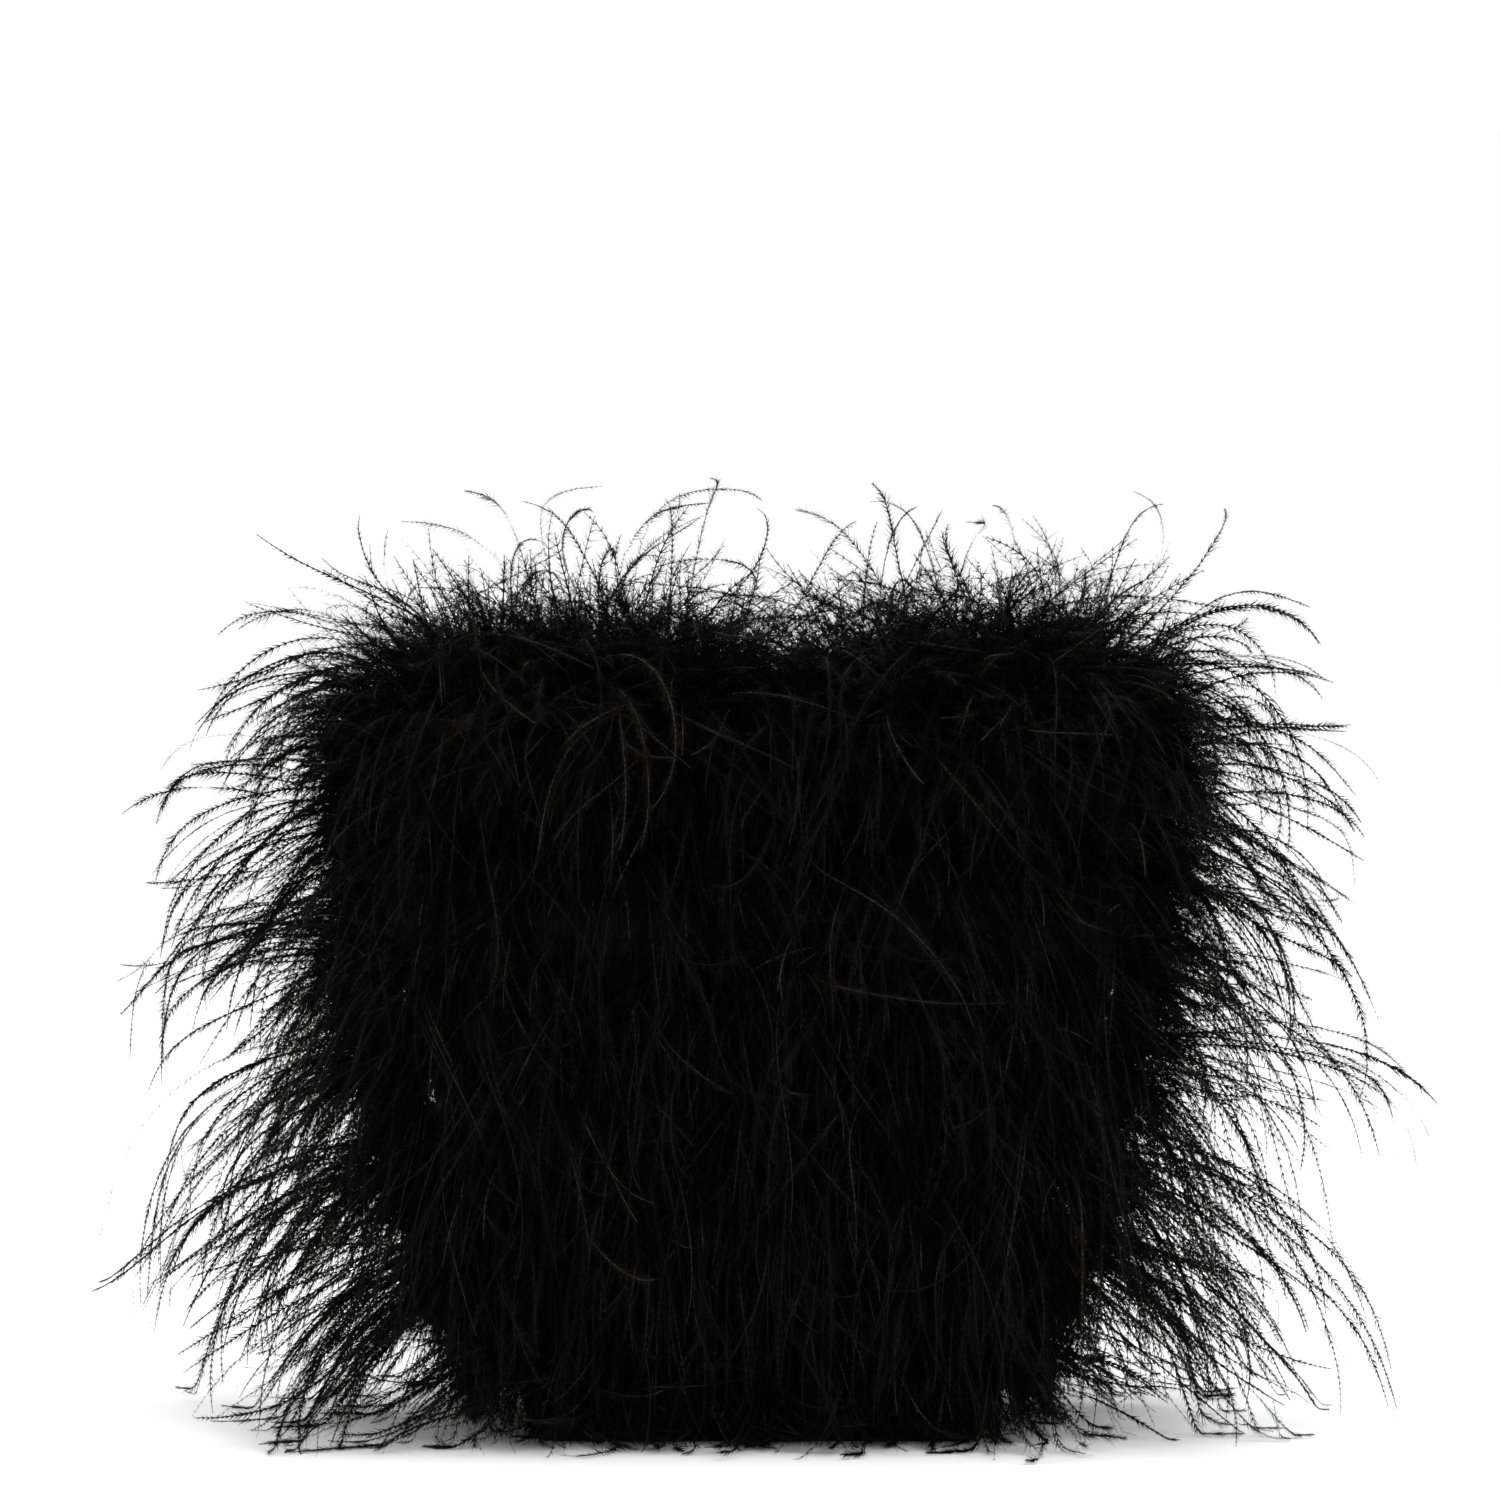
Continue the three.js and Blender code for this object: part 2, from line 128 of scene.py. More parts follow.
def half_width(z):
    """Half the shell's width at height z, with the mouth's rounded corners."""
    z = np.asarray(z, float)
    wall = BASE.x + (MOUTH.x - BASE.x) * np.minimum(z / HINGE, 1)
    up = np.clip(z - (MOUTH.z - MOUTH_CORNER), 0, MOUTH_CORNER)
    return wall - MOUTH_CORNER + np.sqrt(np.maximum(MOUTH_CORNER ** 2 - up ** 2, 0))


def body_depth(z):
    return BASE.y + (HINGE_HALF_DEPTH - BASE.y) * np.minimum(np.asarray(z, float) / HINGE, 1)


def half_depth(z):
    """Half the shell's depth at height z. The cloth draws in from the body to the jaw at the hinge."""
    return body_depth(z) + (JAW_FACE - body_depth(z)) * ramp(z, WALL_TOP, JAW_BOTTOM)


# ---------------- camera, lights, floor

def add(name, data):
    ob = bpy.data.objects.new(name, data)
    bpy.context.scene.collection.objects.link(ob)
    return ob


def aim(ob, at):
    ob.rotation_euler = (at - ob.location).to_track_quat("-Z", "Y").to_euler()


def make_camera():
    """A long lens, level with the middle of the pouch and looking slightly down."""
    view_width, distance, elevation = 0.402, 2.6, math.radians(4.0)
    target = Vector((-0.002, 0, 0.182))
    camera = bpy.data.cameras.new("camera")
    camera.lens_unit = "FOV"
    camera.angle = 2 * math.atan(view_width / 2 / distance)
    camera.clip_end = 200
    ob = add("camera", camera)
    ob.location = target + distance * Vector((0, -math.cos(elevation), math.sin(elevation)))
    aim(ob, target)
    bpy.context.scene.camera = ob


def make_light(name, location, size, watts):
    light = bpy.data.lights.new(name, "AREA")
    light.shape, light.size, light.size_y = "RECTANGLE", *size
    light.energy = watts
    ob = add(name, light)
    ob.location = location
    aim(ob, Vector((0, 0, 0.1)))


def make_studio():
    world = bpy.data.worlds.new("studio")
    bpy.context.scene.world = world
    world.use_nodes = True
    sky = world.node_tree.nodes["Background"].inputs
    sky["Color"].default_value, sky["Strength"].default_value = (1, 1, 1, 1), 1.06
    make_light("key", (1.0, -1.3, 1.5), (0.7, 0.7), 20)
    make_light("fill", (-1.3, -1.3, 0.8), (0.9, 0.9), 6)
    make_light("overhead", (0, 0.1, 1.7), (1.4, 1.2), 8)
    half = 60.0
    corners = [(-half, -half, 0), (half, -half, 0), (half, half, 0), (-half, half, 0)]
    mesh = bpy.data.meshes.new("floor")
    mesh.from_pydata(corners, [], [(0, 1, 2, 3)])
    mesh.materials.append(Look("floor", (0.95, 0.95, 0.95), 0.9).material)
    add("floor", mesh)
    bpy.context.scene.view_settings.view_transform = "Standard"


# ---------------- materials

class Look:
    """A material and a small hand for building its node tree."""

    def __init__(self, name, color, roughness, metallic=0.0):
        self.material = bpy.data.materials.new(name)
        self.material.use_nodes = True
        self.tree = self.material.node_tree
        self.shade(Base_Color=(*color, 1), Roughness=roughness, Metallic=metallic)

    def shade(self, **inputs):
        """Sets or links the shader's sockets, and gives back the material."""
        self.fill(self.tree.nodes["Principled BSDF"], inputs)
        return self.material

    def fill(self, node, inputs):
        for key, value in inputs.items():
            self.feed(node.inputs[key.replace("_", " ")], value)

    def feed(self, socket, value):
        if isinstance(value, bpy.types.NodeSocket):
            self.tree.links.new(value, socket)
        else:
            socket.default_value = value

    def put(self, kind, **inputs):
        node = self.tree.nodes.new("ShaderNode" + kind)
        self.fill(node, inputs)
        return node

    def math(self, operation, *values):
        node = self.put("Math")
        node.operation = operation
        for socket, value in zip(node.inputs, values):
            self.feed(socket, value)
        return node.outputs[0]

    def sum(self, a, a_part, b, b_part):
        """Two values, each times its part, added."""
        return self.math("ADD", self.math("MULTIPLY", a, a_part), self.math("MULTIPLY", b, b_part))

    def ramp(self, value, *stops):
        """A colour that runs through stops of (position, colour)."""
        node = self.put("ValToRGB", Fac=value)
        elements = node.color_ramp.elements
        elements[0].position, elements[0].color = stops[0][0], (*stops[0][1], 1)
        elements[1].position, elements[1].color = stops[-1][0], (*stops[-1][1], 1)
        for position, color in stops[1:-1]:
            elements.new(position).color = (*color, 1)
        return node.outputs["Color"]

    def spread(self, value, low, high, source=(0.0, 1.0)):
        """value mapped from the source range to low..high."""
        ends = dict(From_Min=source[0], From_Max=source[1], To_Min=low, To_Max=high)
        return self.put("MapRange", Value=value, **ends).outputs["Result"]

    def mix(self, factor, a, b):
        node = self.put("Mix")
        node.data_type = "RGBA"
        self.fill(node, dict(Factor=factor, A=a, B=b))
        return node.outputs["Result"]

    def bump(self, height, distance, strength):
        return self.put("Bump", Height=height, Distance=distance, Strength=strength).outputs["Normal"]

    def map(self, name):
        node = self.put("UVMap")
        node.uv_map = name
        return node.outputs["UV"]

    def split(self, vector):
        node = self.put("SeparateXYZ", Vector=vector)
        return node.outputs["X"], node.outputs["Y"]

    def noise(self, vector, scale, detail=2.0, stretch=(1, 1, 1)):
        moved = self.put("Mapping", Vector=vector, Scale=stretch).outputs["Vector"]
        return self.put("TexNoise", Vector=moved, Scale=scale, Detail=detail).outputs["Fac"]


def feather_material():
    """Dyed black barbs, with painted highlights on their shafts. Strand's u runs along a barb; its v is half
    the tone, plus a half on barbules.
    """
    n = Look("ostrich_feather", (0.003, 0.003, 0.003), 0.6)
    along, tone = n.split(n.map("Strand"))
    barbule = n.ramp(
        along, (0, (0.0004, 0.0004, 0.0005)), (0.6, (0.0008, 0.0008, 0.00085)), (1, (0.0018, 0.0016, 0.0015)))
    # The shafts' ramp is lighter than the barbules': painted highlight along the shafts.
    shaft = n.ramp(
        along, (0, (0.0010, 0.0010, 0.0012)), (0.4, (0.0028, 0.0028, 0.0031)), (1, (0.0024, 0.0023, 0.0023)))
    # Per-barb tone: on barbules a real brownish fade of the dye, on shafts a painted highlight.
    fade_and_highlight = n.math("FRACT", n.math("MULTIPLY", tone, 2.0))
    barbule = n.mix(n.math("MULTIPLY", fade_and_highlight, 0.8), barbule, (0.0042, 0.0033, 0.0026, 1))
    # Painted highlight: a random share of shafts is painted light grey, as glinting streaks.
    shaft = n.mix(n.math("POWER", fade_and_highlight, 2.0), shaft, (0.030, 0.028, 0.027, 1))
    return n.shade(Base_Color=n.mix(n.math("GREATER_THAN", tone, 0.5), shaft, barbule),
                   Roughness=n.spread(tone, 0.36, 0.66, (0.49, 0.51)), Specular_IOR_Level=0.05)


def cloth_material(name, dark, light, roughness, pitch, sheen, gloss=0.3):
    """Twill drawn on the Cloth map, whose unit is the metre: uneven yarn, and a sheen at grazing angles."""
    n = Look(name, dark, roughness[0])
    warp, weft = (n.math("MULTIPLY", axis, math.tau / pitch) for axis in n.split(n.map("Cloth")))
    ribs = n.math("SINE", n.math("ADD", warp, weft))
    threads = n.math("SINE", n.math("SUBTRACT", n.math("MULTIPLY", warp, 2.0), weft))
    height = n.spread(n.sum(ribs, 0.7, threads, 0.3), 0.0, 1.0, (-1.0, 1.0))
    uneven = n.noise(n.map("Cloth"), 60.0, 4.0, (1, 3, 1))
    tint = n.sum(height, 0.55, uneven, 0.6)
    return n.shade(
        Base_Color=n.ramp(tint, (0.15, dark), (0.95, light)), Normal=n.bump(height, pitch * 0.35, 0.6),
        Roughness=n.spread(uneven, *roughness, (0.3, 0.7)), Specular_IOR_Level=gloss,
        Sheen_Weight=sheen, Sheen_Roughness=0.4)


def satin_material():
    """Lining satin: a smooth warp face with fine lengthwise threads and soft shading along them."""
    thread_pitch, relief = 0.45 * MM, 0.06 * MM
    n = Look("lining_satin", (0.012, 0.012, 0.013), 0.34)
    across, _ = n.split(n.map("Cloth"))
    threads = n.math("SINE", n.math("MULTIPLY", across, math.tau / thread_pitch))
    slubs = n.noise(n.map("Cloth"), 140.0, 3.0, (8, 0.6, 1))
    tint = n.math("ADD", n.math("MULTIPLY", slubs, 0.7), n.spread(threads, 0.0, 0.3, (-1.0, 1.0)))
    return n.shade(Base_Color=n.ramp(tint, (0.2, (0.007, 0.007, 0.0085)), (0.85, (0.021, 0.020, 0.022))),
                   Roughness=n.spread(slubs, 0.27, 0.44, (0.3, 0.7)), Normal=n.bump(tint, relief, 0.5),
                   Specular_IOR_Level=0.32, Sheen_Weight=0.04)


def board_material():
    """Grey fibre board: mottled pulp with flecks and a slightly rough face."""
    n = Look("stiffening_board", (0.10, 0.095, 0.085), 0.85)
    place = n.put("TexCoord").outputs["Object"]
    pulp = n.noise(place, 420.0, 6.0)
    flecks = n.noise(place, 1500.0, 2.0, (1, 1, 0.3))
    tint = n.sum(pulp, 0.7, flecks, 0.35)
    return n.shade(Base_Color=n.ramp(tint, (0.3, (0.065, 0.060, 0.054)), (0.75, (0.16, 0.15, 0.135))),
                   Roughness=n.spread(pulp, 0.78, 0.95, (0.3, 0.7)), Normal=n.bump(tint, 0.15 * MM, 0.5))


def metal_material(name, dark, light, roughness, brushed):
    """Plated metal: fine lines along X where it is brushed, faint handling marks, and duller patches."""
    n = Look(name, light, roughness[0], 1.0)
    place = n.put("TexCoord").outputs["Object"]
    lines = n.noise(place, 900.0, 3.0, (0.04 if brushed else 1.0, 1, 1))
    patches = n.noise(place, 55.0, 3.0)
    marks = n.noise(place, 380.0, 2.0, (1, 0.12, 1))
    tint = n.sum(lines, 0.45, patches, 0.6)
    dull = n.sum(patches, 0.7, marks, 0.3)
    return n.shade(Base_Color=n.ramp(tint, (0.3, dark), (0.7, light)),
                   Roughness=n.spread(dull, *roughness, (0.3, 0.7)), Normal=n.bump(lines, 0.02 * MM, 0.35))


def make_materials():
    return {
        "ostrich_feather": feather_material(),
        "shell_fabric": cloth_material(
            "shell_fabric", (0.0012, 0.0012, 0.0015), (0.0045, 0.0043, 0.0045),
            (0.66, 0.88), 0.7 * MM, 0.03, gloss=0.12),
        "lining_satin": satin_material(),
        "header_tape": cloth_material(
            "header_tape", (0.0016, 0.0016, 0.002), (0.006, 0.0056, 0.0056),
            (0.6, 0.85), 0.9 * MM, 0.03, gloss=0.15),
        "thread": cloth_material(
            "thread", (0.006, 0.006, 0.007), (0.02, 0.019, 0.018), (0.4, 0.6), 0.3 * MM, 0.05),
        "stiffening_board": board_material(),
        "frame_steel": metal_material(
            "frame_steel", (0.42, 0.42, 0.43), (0.66, 0.65, 0.63), (0.24, 0.42), brushed=True),
        "snap_nickel": metal_material(
            "snap_nickel", (0.50, 0.48, 0.45), (0.74, 0.72, 0.67), (0.16, 0.32), brushed=False),
    }


# ---------------- meshes

def build_mesh(name, verts, faces, uv, look, maps=("Cloth",)):
    """A piece in one of the looks, from triangles or from quads; uv has one pair per face corner."""
    mesh = bpy.data.meshes.new(name)
    mesh.vertices.add(len(verts))
    mesh.vertices.foreach_set("co", np.ascontiguousarray(verts, np.float32).ravel())
    mesh.loops.add(faces.size)
    mesh.loops.foreach_set("vertex_index", np.ascontiguousarray(faces, np.int32).ravel())
    mesh.polygons.add(len(faces))
    mesh.polygons.foreach_set("loop_start", np.arange(0, faces.size, faces.shape[1], dtype=np.int32))
    mesh.polygons.foreach_set("use_smooth", np.ones(len(faces), bool))
    for layer in maps:
        mesh.uv_layers.new(name=layer)
        mesh.uv_layers[layer].data.foreach_set("uv", np.ascontiguousarray(uv, np.float32).ravel())
    mesh.update(calc_edges=True)
    mesh.materials.append(MATERIALS[look])
    ob = add(name, mesh)
    return ob


def grid_faces(rows, cols, closed=False):
    """Quads of a grid of vertices, wound anticlockwise seen with rows up and columns to the right."""
    r, c = np.meshgrid(np.arange(rows - 1), np.arange(cols if closed else cols - 1), indexing="ij")
    r, c, d = r.ravel(), c.ravel(), ((c + 1) % cols).ravel()
    return np.stack([r * cols + c, r * cols + d, (r + 1) * cols + d, (r + 1) * cols + c], -1)


def vertex_normals(verts, quads):
    a, b, c, d = (verts[quads[:, i]] for i in range(4))
    face = np.cross(c - a, d - b)
    normals = np.zeros_like(verts)
    for i in range(4):
        np.add.at(normals, quads[:, i], face)
    return unit(normals)


def thick_sheet(name, verts, quads, uv, thickness, look, mirror=False):
    """A sheet with its outside at verts and a second layer one thickness behind, closed round its edge.

    mirror turns it half round, from front to back and left to right."""
    normals = vertex_normals(verts, quads)
    count = len(verts)
    both = np.concatenate([verts, verts - normals * thickness])
    edges = np.concatenate([quads[:, [i, (i + 1) % 4]] for i in range(4)])
    key = np.sort(edges, 1) @ np.array([count, 1])
    _, first, uses = np.unique(key, return_index=True, return_counts=True)
    rim = edges[first[uses == 1]]
    sides = np.stack([rim[:, 1], rim[:, 0], rim[:, 0] + count, rim[:, 1] + count], -1)
    faces = np.concatenate([quads, quads[:, ::-1] + count, sides])
    if mirror:
        both = both * [-1, -1, 1]
    return build_mesh(name, both, faces, np.concatenate([uv, uv])[faces], look)


def lengths(line):
    """How far along a line each of its points lies."""
    return np.concatenate([[0], np.cumsum(np.linalg.norm(np.diff(line, axis=0), axis=1))])


def grid_sheet(name, points, thickness, look, turned=False, mirror=False):
    """A sheet through a grid of points [row, column, xyz], its outside the other way round if turned.

    Its Cloth map is measured along its middle row and column."""
    rows, cols = points.shape[:2]
    u, v = lengths(points[rows // 2]), lengths(points[:, cols // 2])
    uv = np.stack(np.meshgrid(u, v), -1).reshape(-1, 2)
    quads = grid_faces(rows, cols)
    quads = quads[:, ::-1] if turned else quads
    return thick_sheet(name, points.reshape(-1, 3), quads, uv, thickness, look, mirror)


def ripple(a, b, seed, size):
    """Soft unevenness of up to size over two coordinates in metres, the same on every run."""
    rng = np.random.default_rng([SEED, seed])
    total = np.zeros(np.broadcast(a, b).shape)
    waves = (9, 17, 31)  # at most, in a metre
    for wave in waves:
        turn, phase = rng.uniform(0.2, 1.0, 2) * wave * math.tau, rng.uniform(0, math.tau, 2)
        total += np.sin(a * turn[0] + phase[0] + 2 * np.sin(b * turn[1] + phase[1])) / wave
    return total * size / sum(1 / wave for wave in waves)


# ---------------- shell and lining

def heights(low, high, *marks, step=4 * MM):
    """Row heights from low to high, at most step apart, with closer rows round the hinge and at the marks."""
    fine_step, least_step = 1.2 * MM, 0.5 * MM
    fine = np.arange(WALL_TOP - 2 * MM, JAW_BOTTOM + 3 * MM, fine_step)
    rows = np.concatenate([np.arange(low, high, step), fine[(fine > low) & (fine < high)], marks, [high]])
    rows = np.unique(np.round(rows, 5))
    keep = np.concatenate([[True], np.diff(rows) > least_step])
    keep[-1] = True
    return rows[keep]


def round_corner(rows, top, radius):
    """Ends row heights with ones that follow a rounded corner evenly, up to its top."""
    corner = top - radius + radius * np.sin(np.radians([0, 15, 30, 45, 60, 72, 82, 90]))
    return np.concatenate([rows[:-1], corner])


def shell_cloth(name, mirror):
    """The outer cloth of the front: up the wall, in to the jaw, over the frame's top and round its sides."""
    edge, slack, cols = 1.4 * MM, 0.5 * MM, 64
    top = MOUTH.z - edge
    rows = round_corner(heights(WALL_FOOT, top - MOUTH_CORNER, step=5 * MM), top, MOUTH_CORNER)
    width = half_width(np.minimum(rows, top) + edge * ramp(rows, top - MOUTH_CORNER, top)) - edge
    x = width[:, None] * np.linspace(-1, 1, cols)
    z = np.broadcast_to(rows[:, None], x.shape)
    y = -half_depth(z) + np.abs(ripple(x, z, 1, slack)) * (1 - ramp(z, MOUTH.z - 8 * MM, MOUTH.z))
    face = np.stack([x, y, z], -1)
    uv = np.stack([x, z], -1).reshape(-1, 2)
    index = np.arange(x.size).reshape(x.shape)
    loop = np.concatenate([index[:, 0], index[-1, 1:-1], index[::-1, -1]])
    quads = [grid_faces(len(rows), cols)]
    verts, uvs = [face.reshape(-1, 3)], [uv]
    ring = verts[0][loop]
    tangent = np.gradient(ring[:, [0, 2]], axis=0)
    outward = unit(np.stack([-tangent[:, 1], tangent[:, 0]], -1))
    outward = np.stack([outward[:, 0], 0 * outward[:, 0], outward[:, 1]], -1)
    body_end = -(body_depth(ring[:, 2]) - TURNED_IN)
    end = body_end + (-JAW_BACK - body_end) * ramp(ring[:, 2], WALL_TOP, JAW_BOTTOM)
    last, total = loop, len(verts[0])
    # Each step outwards, backwards, and as a share of the way to the end: round the edge, then straight in.
    steps = [(edge * math.sin(a), edge * (1 - math.cos(a)), 0) for a in np.radians([30, 60, 90])]
    steps += [(edge, edge, share) for share in (0.4, 0.75, 1.0)]
    for out, back, share in steps:
        new = ring + outward * out
        new[:, 1] += back
        new[:, 1] += np.maximum(end - new[:, 1], 0) * share
        verts.append(new)
        uvs.append(uv[loop] + outward[:, [0, 2]] * (out + np.linalg.norm(new - ring, axis=1))[:, None])
        now = total + np.arange(len(loop))
        quads.append(np.stack([last[:-1], now[:-1], now[1:], last[1:]], -1))
        last, total = now, total + len(loop)
    verts, quads, uvs = map(np.concatenate, (verts, quads, uvs))
    return thick_sheet(name, verts, quads, uvs, SHELL_THICKNESS, "shell_fabric", mirror)


def lining_width(z):
    """Half the front lining's width: inside the shell, the frame's legs at the hinge, then the jaw's edge."""
    body = half_width(z) - LINING_DEPTH - 0.6 * MM
    jaw = half_width(z + TURNED_IN) - TURNED_IN
    width = body + (FOLD_X - body) * ramp(z, WALL_TOP - 1 * MM, WALL_TOP + 5 * MM)
    return width + (jaw - width) * ramp(z, JAW_BOTTOM, JAW_BOTTOM + 4 * MM)


def lining_cloth(name, mirror):
    """The lining of the front, from the base board up to the mouth, where it faces the jaw."""
    foot, fold_pitch, fold_depth, cols = 4.8 * MM, 21 * MM, 0.25 * MM, 90
    top = MOUTH.z - TURNED_IN
    rows = heights(foot, top - MOUTH_CORNER, JAW_BOTTOM, step=3 * MM)
    rows = round_corner(rows, top, MOUTH_CORNER - TURNED_IN)
    x = lining_width(rows)[:, None] * np.linspace(-1, 1, cols)
    z = np.broadcast_to(rows[:, None], x.shape)
    body = body_depth(z) - LINING_DEPTH
    depth = body + (JAW_BACK + 0.1 * MM - body) * ramp(z, WALL_TOP, JAW_BOTTOM)
    slack = (1 - ramp(z, WALL_TOP - 4 * MM, JAW_BOTTOM + 2 * MM)) * ramp(z, 4 * MM, 22 * MM)
    folds = np.abs(ripple(x, z * 0.12, 2, 1.5 * MM)) + fold_depth * (1 + np.sin(x * math.tau / fold_pitch))
    points = np.stack([x, -depth + folds * slack, z], -1)
    # The outside of this sheet is the side towards the interior, so its faces are turned.
    return grid_sheet(name, points, LINING_THICKNESS, "lining_satin", True, mirror)


def gusset_sheet(name, quarter, inset, look, thickness):
    """A quarter of both gussets' cloth: the half of the left wall towards the front, or its turned copies."""
    rows, cols = heights(WALL_FOOT + inset, GUSSET_TOP), 18
    t = np.linspace(0, 1, cols)[None]
    z = np.broadcast_to(rows[:, None], (len(rows), cols))
    edge = body_depth(z) - 1.6 * MM - inset * 0.9
    pinch = JAW_FACE - 1.2 * MM
    edge = edge + (pinch - edge) * ramp(z, WALL_TOP, GUSSET_TOP)
    y = -edge * (1 - t)
    wall = half_width(z) - inset - 0.15 * MM
    dent = ramp(z, WALL_TOP - 3 * MM, GUSSET_TOP - 2.5 * MM) * ramp(t, 0.0, 0.35)
    x = wall + (FOLD_X - 0.4 * MM - inset * 0.5 - wall) * dent
    loose = (1 - ramp(z, WALL_TOP - 8 * MM, WALL_TOP)) * ramp(z, 4 * MM, 20 * MM) * ramp(t, 0, 0.4)
    x = x - np.abs(ripple(y, z * 0.2, 3, 0.8 * MM)) * loose
    return quarter_turned(name, np.stack([-x, y, z], -1), inset == 0, quarter, look, thickness)


def quarter_turned(name, points, outer, quarter, look, thickness):
    """Places a sheet built for the left and front into one of the quarters; an outer one faces outwards."""
    x, y = (-TOWARDS[side] for side in quarter)
    return grid_sheet(name, points * [x, y, 1], thickness, look, outer == (x * y > 0))


def fold_sheet(name, quarter, inset, look, thickness):
    """Half of the gusset's pleat between the jaws: from the lining of one jaw in to the crease."""
    depth_below, depth_above, dip, crimp = 5 * MM, 34 * MM, 13 * MM, 0.22 * MM
    rows = np.linspace(GUSSET_TOP - 1 * MM, MOUTH.z - 6 * MM, 22)[:, None]
    t = np.linspace(0, 1, 16)[None]
    up = (rows - rows[0]) / (rows[-1] - rows[0])
    x = FOLD_X - inset - (depth_below + (depth_above - depth_below) * up ** 0.9) * t
    y = -(PLEAT_GAP * (1 - t) ** 0.8) * (1 - 0.25 * inset / MM * t)
    y = y + crimp * np.sin(t * 19 + 3 * up) * t * (1 - t)
    z = rows - dip * up * t ** 1.2
    points = np.stack([-x, np.minimum(y, 0), z], -1)
    return quarter_turned(name, points, inset == 0, quarter, look, thickness)


def tape(cad_node, points, closed, body):
    """A woven header tape through points [row, column, xyz], rows across the tape."""
    length = lengths(points[1])
    across = np.linalg.norm(points[:, 0] - points[0, 0], axis=1)
    uv = np.stack(np.meshgrid(length, across), -1).reshape(-1, 2)
    quads = grid_faces(*points.shape[:2], closed)
    ob = thick_sheet(cad_node + "_cloth", points.reshape(-1, 3), quads, uv, TAPE_THICKNESS, "header_tape")
    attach(ob, body)
    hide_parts(cad_node)


def rounded_loop(wide, deep, radius, corner_points, first, between=(0, 0)):
    """Points [n, xy] anticlockwise round a rectangle, from its first quarter, where 0 is towards +X and +Y.

    Its corners' centres lie at wide and deep; between is how many more points its Y and X sides have."""
    arcs = []
    for k in range(first, first + 4):
        middle = (k + 0.5) * math.pi / 2
        centre = np.array([math.copysign(wide, math.cos(middle)), math.copysign(deep, math.sin(middle))])
        angle = np.linspace(k, k + 1, corner_points) * math.pi / 2
        arcs.append(centre + radius * np.stack([np.cos(angle), np.sin(angle)], -1))
    parts = []
    for arc, following, more in zip(arcs, arcs[1:] + arcs[:1], 2 * between):
        parts += [arc, arc[-1] + (following[0] - arc[-1]) * np.linspace(0, 1, more + 2)[1:-1, None]]
    return np.concatenate(parts)


def ring_tape(row):
    """The tape of a row of fringe, round the shell, with a slight wave."""
    node = f"feather_tape_{row + 1}"
    low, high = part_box(node)
    radius, grown, waviness = 2.5 * MM, 0.95 * MM, 0.0012
    loops = []
    for level in np.linspace(low.z, high.z, TAPE_ROWS):
        wide, deep = (half(level) + grown - radius for half in (half_width, body_depth))
        loop = rounded_loop(wide, deep, radius, 5, -1, (8, 28))
        loop *= 1 + waviness * np.sin(np.arange(len(loop)) * 0.9 + row)[:, None]
        loops.append(np.insert(loop, 2, level, axis=1))
    tape(node, np.stack(loops), True, BODY)


def mouth_tape(side, row):
    """A tape along a jaw, whose edges draw up a little at each stitch."""
    node = f"{side}_mouth_tape_{row + 1}"
    low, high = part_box(node)
    stitch, drawn = 6 * MM, 0.06 * MM * np.array([1, 0.3, 0, 0.3, 1])
    x, z = np.meshgrid(np.linspace(low.x, high.x, 60), np.linspace(low.z, high.z, TAPE_ROWS))
    outside = max(abs(low.y), abs(high.y)) + 0.05 * MM + drawn[:, None] * np.sin(x * math.tau / stitch)
    turned = -TOWARDS[side]
    tape(node, np.stack([x * turned, -outside * turned, z], -1), False, JAWS[side])


def base_cover():
    """The base: a board in cloth with softened edges, a raised seam round it and slightly drawn-in sides."""
    corner = 5 * MM
    # How far out of the base's outline and how high, in millimetres.
    profile = [(-1.6, 0.0), (-0.5, 0.15), (0.0, 0.6), (0.05, 1.2), (-0.3, 1.75), (-1.5, 1.98)]
    rings = []
    for out, z in profile:
        loop = rounded_loop(BASE.x - corner, BASE.y - corner, corner + out * MM, 7, 0)
        rings.append(np.insert(loop, 2, z * MM, axis=1))
    shares = np.array([0.0, 0.35, 0.7, 0.93])
    under, over = ([ring * [share, share, 1] for share in shares] for ring in (rings[0], rings[-1]))
    points = np.stack(under + rings + over[::-1])
    points[[0, -1]] = points[[0, -1]].mean(1, keepdims=True)
    quads = grid_faces(*points.shape[:2], closed=True)
    # On the Cloth map the upper side lies beside the lower one.
    uv = (points[:, :, :2] + np.where(points[:, :, 2:] > 1 * MM, [0.3, 0.0], 0.0)).reshape(-1, 2)
    ob = build_mesh("base_cover", points.reshape(-1, 3), quads, uv[quads], "shell_fabric")
    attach(ob, BODY)
    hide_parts("base_panel")


def stitches(name, line, pitch, length, body):
    """Running stitches along a line of points: short crowned bars of thread that sink at both ends."""
    thread_radius, around, rings = 0.22 * MM, 6, 7
    line = np.asarray(line, float)
    run = lengths(line)
    s = np.linspace(-0.5, 0.5, rings)
    crown = np.sqrt(np.maximum(1 - (2 * s) ** 2, 0.03))
    a = np.linspace(0, math.tau, around, endpoint=False)[:, None]
    verts, faces = [], []
    for middle in np.arange(pitch / 2, run[-1], pitch):
        centre = np.stack([np.interp(middle + s * length, run, line[:, i]) for i in range(3)], -1)
        tangent = unit(centre[-1] - centre[0])
        up = np.cross(tangent, np.cross([0.0, -1.0, 0.001], tangent))
        side = np.cross(tangent, up)
        faces.append(grid_faces(rings, around, closed=True) + len(verts) * around)
        verts += [c + (side * np.cos(a) + up * np.sin(a)) * thread_radius * k for c, k in zip(centre, crown)]
    verts, faces = np.concatenate(verts), np.concatenate(faces)
    uv = np.stack([verts[:, 0] + verts[:, 1], verts[:, 2]], -1)
    ob = build_mesh(name, verts, faces, uv[faces], "thread")
    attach(ob, body)


